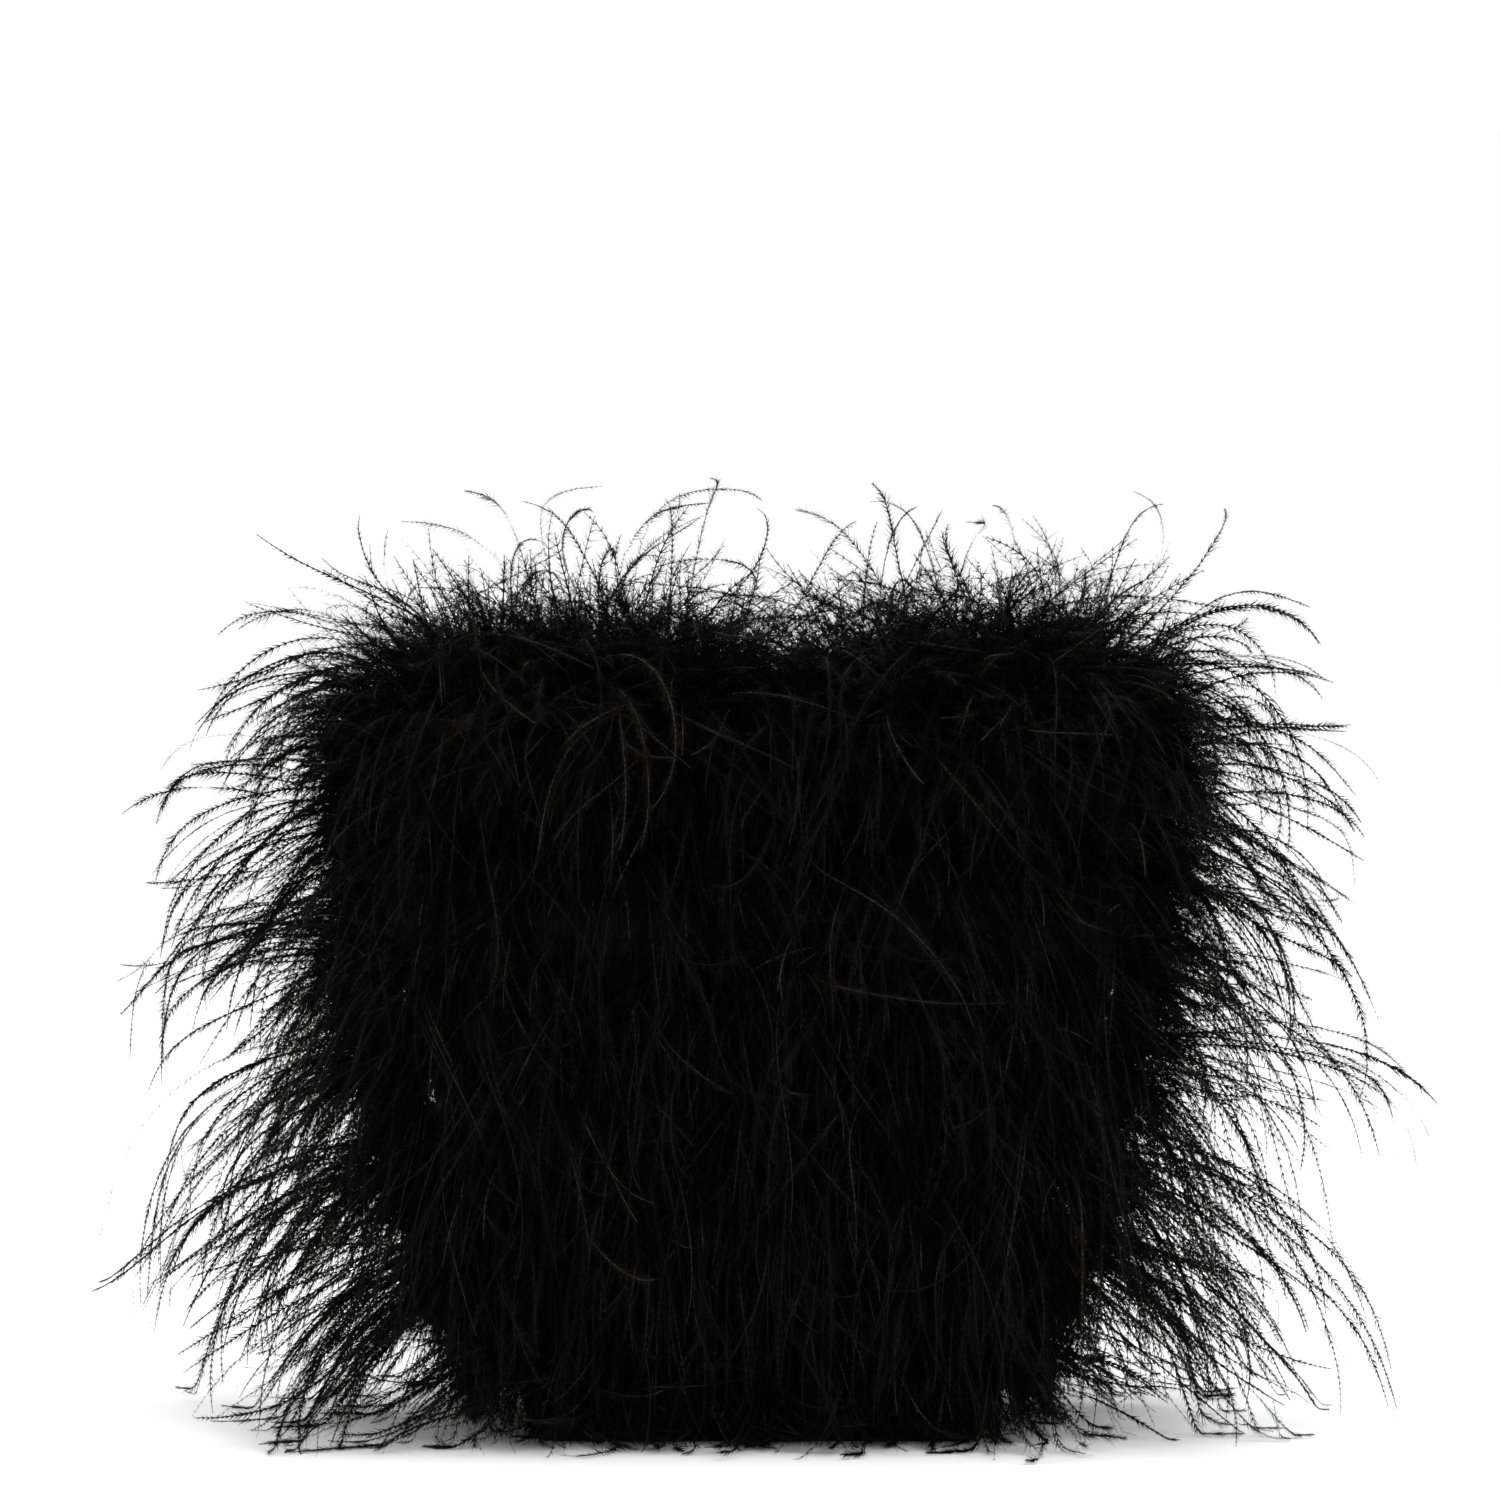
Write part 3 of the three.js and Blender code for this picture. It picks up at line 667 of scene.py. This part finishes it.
def pocket():
    """A patch pocket on the back lining, sewn on three sides, its hemmed mouth standing a little open."""
    low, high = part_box("interior_pocket")
    open_by, sag, hem_height, seam_in = 2.6 * MM, 1.2 * MM, 8 * MM, 2 * MM
    v = np.linspace(0, 1, 34)[:, None]
    u = np.linspace(-1, 1, 60)[None]
    x = high.x * u * np.ones_like(v)
    z = low.z + (high.z - low.z) * v * np.ones_like(u)
    bulge = open_by * (1 - u ** 2) ** 1.2 * v ** 1.5
    bulge += np.abs(ripple(x, z * 0.3, 5, 0.7 * MM)) * (1 - u ** 4) * v
    hem = 0.45 * MM * (z > high.z - hem_height)
    y = body_depth(z) - LINING_DEPTH - 1.15 * MM - bulge - hem
    points = np.stack([x, y, z - sag * (1 - u ** 2) * v ** 3], -1)
    ob = grid_sheet("pocket", points, 0.7 * MM, "lining_satin")
    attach(ob, BODY)
    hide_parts("interior_pocket")
    half, foot, top = high.x - seam_in, low.z + seam_in, high.z - seam_in
    corners = [(-half, top), (-half, foot), (half, foot), (half, top)]
    seam = [(x0 + (x1 - x0) * t, z0 + (z1 - z0) * t)
            for (x0, z0), (x1, z1) in zip(corners, corners[1:]) for t in np.linspace(0, 1, 12)]
    seam = [(x, body_depth(z) - LINING_DEPTH - 1.3 * MM, z) for x, z in seam]
    stitches("pocket_stitching", seam, 3.2 * MM, 2.3 * MM, BODY)


def jaw_stitching(side):
    """A line of topstitching round the lining of a jaw, a few millimetres inside its edge."""
    inset = 5 * MM
    radius = MOUTH_CORNER - inset
    half, top, foot = MOUTH.x - inset, MOUTH.z - inset, JAW_BOTTOM + 6 * MM
    corner = [(half - radius + radius * math.sin(a), top - radius + radius * math.cos(a))
              for a in np.radians(np.arange(0, 81, 10))]
    line = [(-half, z) for z in np.linspace(foot, top - radius, 12)]
    line += [(-x, z) for x, z in reversed(corner)]
    line += [(x, top) for x in np.linspace(radius - half, half - radius, 20)]
    line += corner + [(half, z) for z in np.linspace(top - radius, foot, 12)]
    points = [(x, TOWARDS[side] * (JAW_BACK - 0.02 * MM), z) for x, z in line]
    stitches(f"{side}_jaw_stitching", points, 3.4 * MM, 2.4 * MM, JAWS[side])


def base_lining():
    """The lining's bottom, loose on the base board."""
    low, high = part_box("lining_base")
    x, y = np.meshgrid(np.linspace(low.x, high.x, 40), np.linspace(low.y, high.y, 24))
    edge = np.minimum(1, np.minimum(high.x - np.abs(x), high.y - np.abs(y)) / (6 * MM))
    z = high.z + (0.2 * MM + np.abs(ripple(x, y, 6, 0.6 * MM))) * edge
    ob = grid_sheet("base_lining", np.stack([x, y, z], -1), LINING_THICKNESS, "lining_satin")
    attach(ob, BODY)
    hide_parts("lining_base")


def sew(ob, nodes):
    """Bakes a sheet's placement into its mesh and hides the CAD nodes that it stands for."""
    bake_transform(ob)
    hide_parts(*nodes)


def make_cloth():
    for side in JAWS:
        ob = shell_cloth(f"{side}_shell", side == "back")
        sew(ob, (f"{side}_panel", f"{side}_yoke"))
        ob = lining_cloth(f"{side}_lining", side == "back")
        sew(ob, (f"lining_{side}", f"{side}_facing"))
        jaw_stitching(side)
        for row in (0, 1):
            mouth_tape(side, row)
    for quarter in itertools.product(("left", "right"), JAWS):
        edge, side = quarter
        ob = gusset_sheet(f"gusset_{edge}_{side}_half", quarter, 0, "shell_fabric", GUSSET_THICKNESS)
        sew(ob, (f"gusset_{edge}",))
        name = f"lining_{edge}_{side}_half"
        ob = gusset_sheet(name, quarter, LINING_DEPTH, "lining_satin", LINING_THICKNESS)
        sew(ob, (f"lining_{edge}",))
        for layer, *cloth in (("gusset", 0, "shell_fabric", 0.5 * MM),
                              ("lining", 1 * MM, "lining_satin", 0.4 * MM)):
            ob = fold_sheet(f"{layer}_fold_{edge}_{side}", quarter, *cloth)
            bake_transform(ob)
    base_cover()
    base_lining()
    pocket()
    for row in range(len(FACE_ROWS)):
        ring_tape(row)


def finish_cad_nodes():
    looks = {"stiffening_board": ["base_board", "front_stiffener", "back_stiffener"],
             "frame_steel": ["front_frame", "back_frame", "hinge_pin_left", "hinge_pin_right"],
             "snap_nickel": ["snap_stud", "snap_magnet", "snap_washer_front", "snap_washer_back"]}
    for look, names in looks.items():
        for name in names:
            for slot in bpy.data.objects[name].material_slots:
                slot.material = MATERIALS[look]


# ---------------- ostrich barbs

def keep_outside(at):
    """Moves points that have come inside the shell out through its nearest wall."""
    x, y, z = at.T
    wide, deep = half_width(z) + SHELL_GAP, half_depth(z) + SHELL_GAP
    in_x, in_y = wide - np.abs(x), deep - np.abs(y)
    inside = (in_x > 0) & (in_y > 0) & (z < MOUTH.z)
    by_y = inside & (in_y <= in_x)
    at[:, 1] = np.where(by_y, np.sign(y) * deep, y)
    at[:, 0] = np.where(inside & ~by_y, np.sign(x) * wide, x)


def barb_paths(b, sections):
    """Centre lines [barb, section, xyz] of barbs that leave their root at one slope and end at another.

    b holds an array per property: root, heading and rise there, fall at the tip (degrees), curl (change of
    heading), length, bend (how early it falls), hook (extra turn at the very tip), wave (sway) and phase. A
    barb that reaches its floor runs on along it."""
    step = b["length"] / (sections - 1)
    at = b["root"].copy()
    path = [at.copy()]
    for i in range(sections - 1):
        s = (i + 0.5) / (sections - 1)
        turn = 1 - (1 - s) ** b["bend"]
        slope = b["rise"] + (b["fall"] - b["rise"]) * turn + b["hook"] * s ** 4
        slope = np.radians(slope + 0.6 * b["wave"] * np.sin(1.7 * b["phase"] + 9.0 * s))
        heading = np.radians(b["heading"] + b["curl"] * s ** 1.3 + b["wave"] * np.sin(b["phase"] + 7.0 * s))
        ahead = np.stack([np.cos(heading), np.sin(heading), np.zeros_like(heading)], -1)
        move = ahead * np.cos(slope)[:, None]
        move[:, 2] = np.sin(slope)
        landed = at[:, 2] + move[:, 2] * step < b["floor"]
        at = at + np.where(landed[:, None], ahead * SLIDE, move) * step[:, None]
        at[:, 2] = np.where(landed, b["floor"], at[:, 2])
        keep_outside(at)
        path.append(at.copy())
    path = np.stack(path, 1)
    for _ in range(SOFTENED):
        path[:, 1:-1] = 0.25 * path[:, :-2] + 0.5 * path[:, 1:-1] + 0.25 * path[:, 2:]
    return path


def keep_within(path, limit):
    """Bends back what stands out past the reach, of which limit is each barb's share."""
    for axis, (near, far) in enumerate(REACH):
        d = np.abs(path[..., axis])
        room = (far - near) * limit[:, None]
        soft = near + room * np.tanh((d - near) / room)
        path[..., axis] = np.where(d > near, np.sign(path[..., axis]) * soft, path[..., axis])
    return path


def barb_mesh(path, b, rng):
    """A flat shaft with barbules: thin triangles that leave it at each section, half of them to each side."""
    count, sections = path.shape[:2]
    each = 2 + BARBULES
    s = np.linspace(0, 1, sections)[None, :, None]
    tangent = unit(np.gradient(path, axis=1))
    reference = unit(rng.normal(size=(count, 1, 3)) + [0, 0, 0.3])
    across = unit(np.cross(tangent, np.broadcast_to(reference, tangent.shape)))
    normal = np.cross(across, tangent)
    twist = b["twist"][:, None, None] * s + b["phase"][:, None, None]
    cos, sin = np.cos(twist), np.sin(twist)
    across, normal = across * cos + normal * sin, normal * cos - across * sin
    half = (SHAFT_TAPER * (1 - s) ** 0.7 + SHAFT_TIP) * b["thick"][:, None, None]
    verts = np.empty((count, sections, each, 3))
    verts[:, :, 0] = path - across * half
    verts[:, :, 1] = path + across * half
    swell = np.minimum(1, 0.3 + s[..., 0] * 5) * np.minimum(1, (1.02 - s[..., 0]) * 5) ** 0.7
    clumpy = 0.72 + 0.28 * np.sin(s[..., 0] * b["length"][:, None] / (2.1 * MM) + b["phase"][:, None] * 3)
    for k in range(BARBULES):
        spread, side = (0.7, 1.05, 1.4)[k // 2], -1 if k % 2 else 1
        lean = np.radians(b["open"][:, None, None] * spread + rng.normal(0, 6, (count, sections, 1)))
        lift = np.radians(rng.normal(0, 38, (count, sections, 1)))
        reach = b["fluff"][:, None] * swell * clumpy * rng.uniform(0.6, 1.2, (count, sections))
        way = tangent * np.cos(lean) + (side * across * np.cos(lift) + normal * np.sin(lift)) * np.sin(lean)
        tip = path + way * reach[..., None]
        tip[..., 2] -= DROOP * reach
        verts[:, :, 2 + k] = tip
    verts[..., 2] = np.maximum(verts[..., 2], BARBULE_FLOOR)

    first = (np.arange(count)[:, None] * sections + np.arange(sections)[None]) * each
    a, n = first[:, :-1].ravel(), first[:, 1:].ravel()
    shaft = np.concatenate([np.stack([a, a + 1, n + 1], -1), np.stack([a, n + 1, n], -1)])
    f = first.ravel()
    barbules = np.concatenate([np.stack([f, f + 1, f + 2 + k], -1) for k in range(BARBULES)])

    # The nudges keep a face from being a mere line on the map.
    along = s + np.array([0, 0] + [0.4 / sections] * BARBULES)
    tone = b["tone"][:, None, None] * 0.48 + np.array([0, 0.004] + [0.008] * BARBULES)
    along, tone = (np.broadcast_to(v, verts.shape[:3]).ravel() for v in (along, tone))
    tris = np.concatenate([shaft, barbules])
    part = np.repeat([0.0, 0.5], [len(shaft), len(barbules)])[:, None]
    uv = np.stack([np.clip(along[tris], 0, 1), tone[tris] + part], -1)
    return verts.reshape(-1, 3), tris, uv


def make_fringe(name, b, rng):
    """A piece of fringe from its barbs' properties; the barbs of a tuft draw together towards their tips."""
    group = 6  # sections are counted in sixes, so that many barbs are built at once
    sections = np.maximum(2, np.round(b["length"] / b["step"] / group).astype(int)) * group
    parts, start = [], 0
    for n in np.unique(sections):
        mine = {k: v[sections == n] for k, v in b.items()}
        path = barb_paths(mine, n)
        tufts, tuft = np.unique(mine["tuft"], return_inverse=True)
        guide = np.zeros((len(tufts), n, 3))
        np.add.at(guide, tuft, path)
        guide /= np.bincount(tuft)[:, None, None]
        draw = mine["clump"][:, None, None] * ease(np.linspace(0, 1, n))[None, :, None]
        path = keep_within(path + (guide[tuft] - path) * draw, mine["limit"])
        verts, tris, uv = barb_mesh(path, mine, rng)
        parts.append((verts, tris + start, uv))
        start += len(verts)
    verts, tris, uv = (np.concatenate(p) for p in zip(*parts))
    return build_mesh(name, verts, tris, uv, "ostrich_feather", maps=("Strand", "OFBake"))


# Families of barbs, in degrees and millimetres; a pair is a range, and the angles are spreads. spacing is
# between tufts, barbs how many each has, and dark the power that keeps most tones near black.
HANG = dict(
    spacing=4.0, barbs=6, bend=(0.7, 1.9), clump=(0.1, 0.9), fluff=(2.0, 4.6), open=(14, 38), thick=1.2,
    curl=52, scatter=10, tuft_scatter=30, step=2.1, hook=50, wave=12, root_rise=3, dark=6)
DOWN = dict(
    spacing=3.6, barbs=7, bend=(0.7, 1.4), clump=(0.0, 0.35), fluff=(3.6, 6.2), open=(28, 48), thick=2.0,
    curl=34, scatter=22, tuft_scatter=16, step=2.4, hook=24, wave=8, root_rise=10, dark=3)
WISP = dict(
    spacing=4.4, barbs=6, bend=(0.8, 1.4), clump=(0.6, 0.98), fluff=(2.2, 4.8), open=(13, 40), thick=1.8,
    curl=30, scatter=9, tuft_scatter=24, step=1.6, hook=28, wave=7, root_rise=6, dark=2.5)
MOUND = dict(
    spacing=3.0, barbs=7, bend=(0.9, 1.9), clump=(0.4, 0.92), fluff=(4.0, 6.8), open=(28, 52), thick=1.7,
    curl=70, scatter=20, tuft_scatter=62, step=2.7, hook=50, wave=12, root_rise=7, dark=3)
RUFF = dict(
    spacing=3.8, barbs=6, bend=(0.8, 1.5), clump=(0.6, 0.98), fluff=(2.6, 5.2), open=(18, 42), thick=1.8,
    curl=60, scatter=10, tuft_scatter=62, step=1.7, hook=44, wave=11, root_rise=4, dark=3)
CURL = dict(
    spacing=5.6, barbs=5, bend=(0.5, 1.0), clump=(0.5, 0.95), fluff=(2.4, 4.4), open=(16, 36), thick=2.3,
    curl=75, scatter=18, tuft_scatter=46, step=1.6, hook=10, wave=14, root_rise=6, dark=3)
STRAY = dict(
    spacing=14, barbs=1, bend=(0.6, 1.6), clump=(0.0, 0.1), fluff=(2.8, 4.8), open=(18, 38), thick=1.6,
    curl=80, scatter=20, tuft_scatter=40, step=1.5, hook=80, wave=11, root_rise=3, dark=1.3)

# Each row of fringe, from the base up: families with their rise at the root and fall at the tip, each a
# middle and a spread, the range of their lengths, and how densely they are sewn.
FACE_ROWS = [
    [(HANG, (-40, 12), (-66, 12), (28, 50)), (DOWN, (-42, 22), (-80, 8), (20, 28)),
     (CURL, (-38, 14), (-6, 24), (34, 72), 1.5)],
    [(HANG, (-32, 12), (-76, 11), (48, 78)), (DOWN, (-25, 24), (-72, 14), (24, 42))],
    [(HANG, (-28, 13), (-79, 11), (58, 98)), (DOWN, (-20, 26), (-72, 14), (26, 46)),
     (STRAY, (-20, 15), (-66, 34), (60, 100), 2.2)],
    [(HANG, (-25, 13), (-80, 12), (64, 108)), (DOWN, (-15, 28), (-72, 14), (28, 48)),
     (STRAY, (-15, 15), (-66, 34), (60, 110), 2.2)],
    [(HANG, (-22, 14), (-80, 12), (64, 112)), (DOWN, (-10, 30), (-72, 16), (30, 50)),
     (STRAY, (-10, 15), (-66, 34), (60, 110), 2.2)],
]
CLOSE = (DOWN, (-36, 22), (-80, 10), (20, 34), 1.4)  # down along the wall, under the wisps
SIDE_ROWS = [
    [(WISP, (-18, 9), (-30, 12), (34, 82), 0.35), (DOWN, (-26, 24), (-70, 16), (14, 28), 1.5),
     (STRAY, (-10, 15), (-10, 30), (40, 70))],
    [(WISP, (-10, 12), (-52, 15), (58, 112), 1.05), (DOWN, (-24, 26), (-68, 16), (16, 30), 1.0),
     CLOSE, (STRAY, (0, 20), (-40, 40), (50, 90))],
    [(WISP, (-6, 13), (-64, 15), (64, 130), 1.0), (DOWN, (-8, 30), (-56, 24), (22, 42), 1.2),
     CLOSE, (STRAY, (0, 20), (-40, 40), (50, 90))],
    [(WISP, (-2, 13), (-66, 18), (62, 126), 0.7), (DOWN, (8, 32), (-38, 30), (30, 52), 1.3),
     CLOSE, (STRAY, (5, 20), (-30, 40), (50, 96))],
    [(WISP, (6, 14), (-56, 20), (54, 116), 0.6), (DOWN, (10, 34), (-35, 30), (28, 46), 1.2),
     CLOSE, (DOWN, (58, 16), (14, 26), (22, 38), 1.3),
     (STRAY, (5, 20), (-30, 40), (50, 96))],
]
# The fringe has been brushed fuller on one side than on the other.
FULLNESS = {"front": 1.0, "back": 1.0, "left": 1.4, "right": 0.9}
FACE_FAN, SIDE_FAN, JAW_END_FAN = 40, 45, 20  # degrees by which barbs fan out at the ends of their tape
JAW_ROWS = [
    [(HANG, (-8, 18), (-80, 11), (62, 106)), (DOWN, (-5, 28), (-68, 20), (28, 48)),
     (STRAY, (0, 20), (-70, 30), (60, 110), 1.4)],
    [(HANG, (16, 22), (-74, 15), (54, 94)), (DOWN, (0, 34), (-60, 20), (28, 44)),
     (STRAY, (20, 20), (-70, 30), (60, 110), 1.2)],
]
# What stands over the mouth on the upper row: a soft mass, plumes that arch sideways, and close down.
JAW_TOP = {
    "ruff": [(MOUND, (66, 17), (-15, 32), (47, 70), 2.8)],
    "plumes": [(RUFF, (58, 17), (-48, 26), (58, 108), 1.1), (STRAY, (70, 12), (40, 34), (64, 104), 1.8)],
    "down": [(DOWN, (64, 15), (16, 26), (42, 54), 2.2)],
}
# Tufts round the ends of a jaw, by row, and how far under and over the middle of the tape they are sewn.
JAW_ENDS = [
    [(WISP, (-2, 14), (-54, 20), (50, 104), 0.9), (DOWN, (4, 34), (-45, 28), (20, 34), 2.3)],
    [(WISP, (24, 18), (-38, 24), (46, 92), 0.7), (DOWN, (30, 34), (-30, 34), (20, 36), 2.8)],
]
JAW_END_SPAN = [(-13 * MM, 13 * MM), (-14 * MM, 5 * MM)]


def crown(x):
    """How the ruff's height varies over the mouth: parted right of the middle, fullest either side."""
    parting = 0.42 * np.exp(-((x - 6 * MM) / (18 * MM)) ** 2)
    left = 0.12 * np.exp(-((x + 38 * MM) / (18 * MM)) ** 2)
    right = 0.14 * np.exp(-((x - 54 * MM) / (24 * MM)) ** 2)
    return 1 - parting + left + right - 0.10 * (np.abs(x) > 86 * MM)


def barbs_along(rng, start, end, azimuth, fan, family, rise, fall, length, dense=1.0, fullness=1.0):
    """The barbs of one family along a tape from start to end, fanning out by fan degrees at its ends."""
    count = max(2, int(round((end - start).length / (family["spacing"] * MM) * dense * fullness)))
    per = family["barbs"]
    n, t = count * per, np.repeat(np.arange(count), per)
    at = (np.arange(count) + 0.5 + rng.uniform(-0.3, 0.3, count)) / count
    side = (at - 0.5) * 2
    heading = azimuth + fan * np.sign(side) * np.abs(side) ** 2.2
    heading = heading + rng.normal(0, family["tuft_scatter"], count)
    along = np.clip(at[t] + rng.normal(0, 0.35, n) / count, 0, 1)
    root = np.array(start)[None] + along[:, None] * np.array(end - start)[None]
    root[:, 2] += rng.uniform(-1, 1, n) * family["root_rise"] * MM
    off = lambda key: rng.normal(0, family[key], n)
    tuft_length = rng.uniform(*length, count) * (crown(root[::per, 0]) if rise[0] > 50 else 1)
    openness = rng.uniform(0, 1, n) ** 0.8
    between = lambda key: family[key][0] + (family[key][1] - family[key][0]) * openness
    return {
        "root": root, "tuft": t,
        "heading": heading[t] + off("scatter"),
        "rise": rng.normal(*rise, count)[t] + off("scatter"),
        "fall": np.clip(rng.normal(*fall, count)[t] + rng.normal(0, 10, n), -89, 89),
        "curl": rng.normal(0, family["curl"], count)[t] + rng.normal(0, family["curl"] / 2, n),
        "hook": off("hook"),
        "length": tuft_length[t] * rng.uniform(0.65, 1.1, n) * MM,
        "bend": rng.uniform(*family["bend"], n), "wave": off("wave"), "phase": rng.uniform(0, math.tau, n),
        "twist": rng.normal(0, 1.6, n), "thick": rng.uniform(0.75, 1.25, n) * family["thick"],
        "fluff": between("fluff") * MM, "open": between("open"),
        "clump": rng.uniform(*family["clump"], count)[t] * rng.uniform(0.7, 1, n),
        "tone": rng.uniform(0, 1, n) ** family["dark"],
        "limit": rng.uniform(0.45, 1, n),
        "step": np.full(n, family["step"] * MM),
        "floor": FLOOR + rng.uniform(0, 1, n) ** 2 * 6 * MM,
    }


def joined(groups):
    """Several groups of barbs as one, with their tufts numbered on."""
    out = {k: np.concatenate([g[k] for g in groups]) for k in groups[0]}
    shift = np.cumsum([0] + [g["tuft"].max() + 1 for g in groups[:-1]])
    out["tuft"] = np.concatenate([g["tuft"] + s for g, s in zip(groups, shift)])
    return out


def shell_fringe(side, row):
    """A row of fringe on one side of the shell, along its ring tape."""
    rng = np.random.default_rng([SEED, SIDES.index(side), row])
    low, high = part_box(f"feather_tape_{row + 1}")
    z = (low.z + high.z) / 2
    # A positive fan turns the far end of the tape anticlockwise, seen from above.
    if side in JAWS:
        ends = [Vector((x, TOWARDS[side] * high.y, z)) for x in (low.x, high.x)]
        fan, kinds = -TOWARDS[side] * FACE_FAN, FACE_ROWS[row]
    else:
        ends = [Vector((TOWARDS[side] * high.x, y, z)) for y in (low.y, high.y)]
        fan, kinds = TOWARDS[side] * SIDE_FAN, SIDE_ROWS[row]
    groups = [barbs_along(rng, *ends, OUTWARD[side], fan, *kind, fullness=FULLNESS[side]) for kind in kinds]
    ob = make_fringe(f"{side}_fringe_{row + 1}", joined(groups), rng)
    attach(ob, BODY)
    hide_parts(f"{side}_feathers_{row + 1}")


def jaw_fringe(side, row):
    """A row of fringe on one jaw, with fuller tufts round its two ends, and the ruff on its upper row."""
    rng = np.random.default_rng([SEED, 10 + SIDES.index(side), row])
    low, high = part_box(f"{side}_mouth_tape_{row + 1}")
    z = (low.z + high.z) / 2
    y = low.y if side == "front" else high.y
    ends = Vector((low.x, y, z)), Vector((high.x, y, z))
    fan = -TOWARDS[side] * FACE_FAN
    along = lambda kinds: [barbs_along(rng, *ends, OUTWARD[side], fan, *kind) for kind in kinds]
    groups = along(JAW_ROWS[row])
    for x, azimuth in ((low.x, OUTWARD["left"]), (high.x, OUTWARD["right"])):
        outer = x * 1.09
        start, end = (Vector((outer, depth, z + up)) for depth, up in zip((y, 0.1 * y), JAW_END_SPAN[row]))
        groups += [barbs_along(rng, start, end, azimuth, JAW_END_FAN, *kind) for kind in JAW_ENDS[row]]
    pieces = {f"fringe_{row + 1}": groups}
    if row == len(JAW_ROWS) - 1:
        pieces.update((part, along(kinds)) for part, kinds in JAW_TOP.items())
    for part, barbs in pieces.items():
        ob = make_fringe(f"{side}_mouth_{part}", joined(barbs), rng)
        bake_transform(ob)
        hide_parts(f"{side}_mouth_feathers_{row + 1}")


def make_feathers():
    for row in range(len(FACE_ROWS)):
        for side in SIDES:
            shell_fringe(side, row)
    for side in JAWS:
        for row in range(len(JAW_ROWS)):
            jaw_fringe(side, row)


# ---------------- build

MATERIALS = make_materials()
make_camera()
make_studio()
make_cloth()
finish_cad_nodes()
make_feathers()
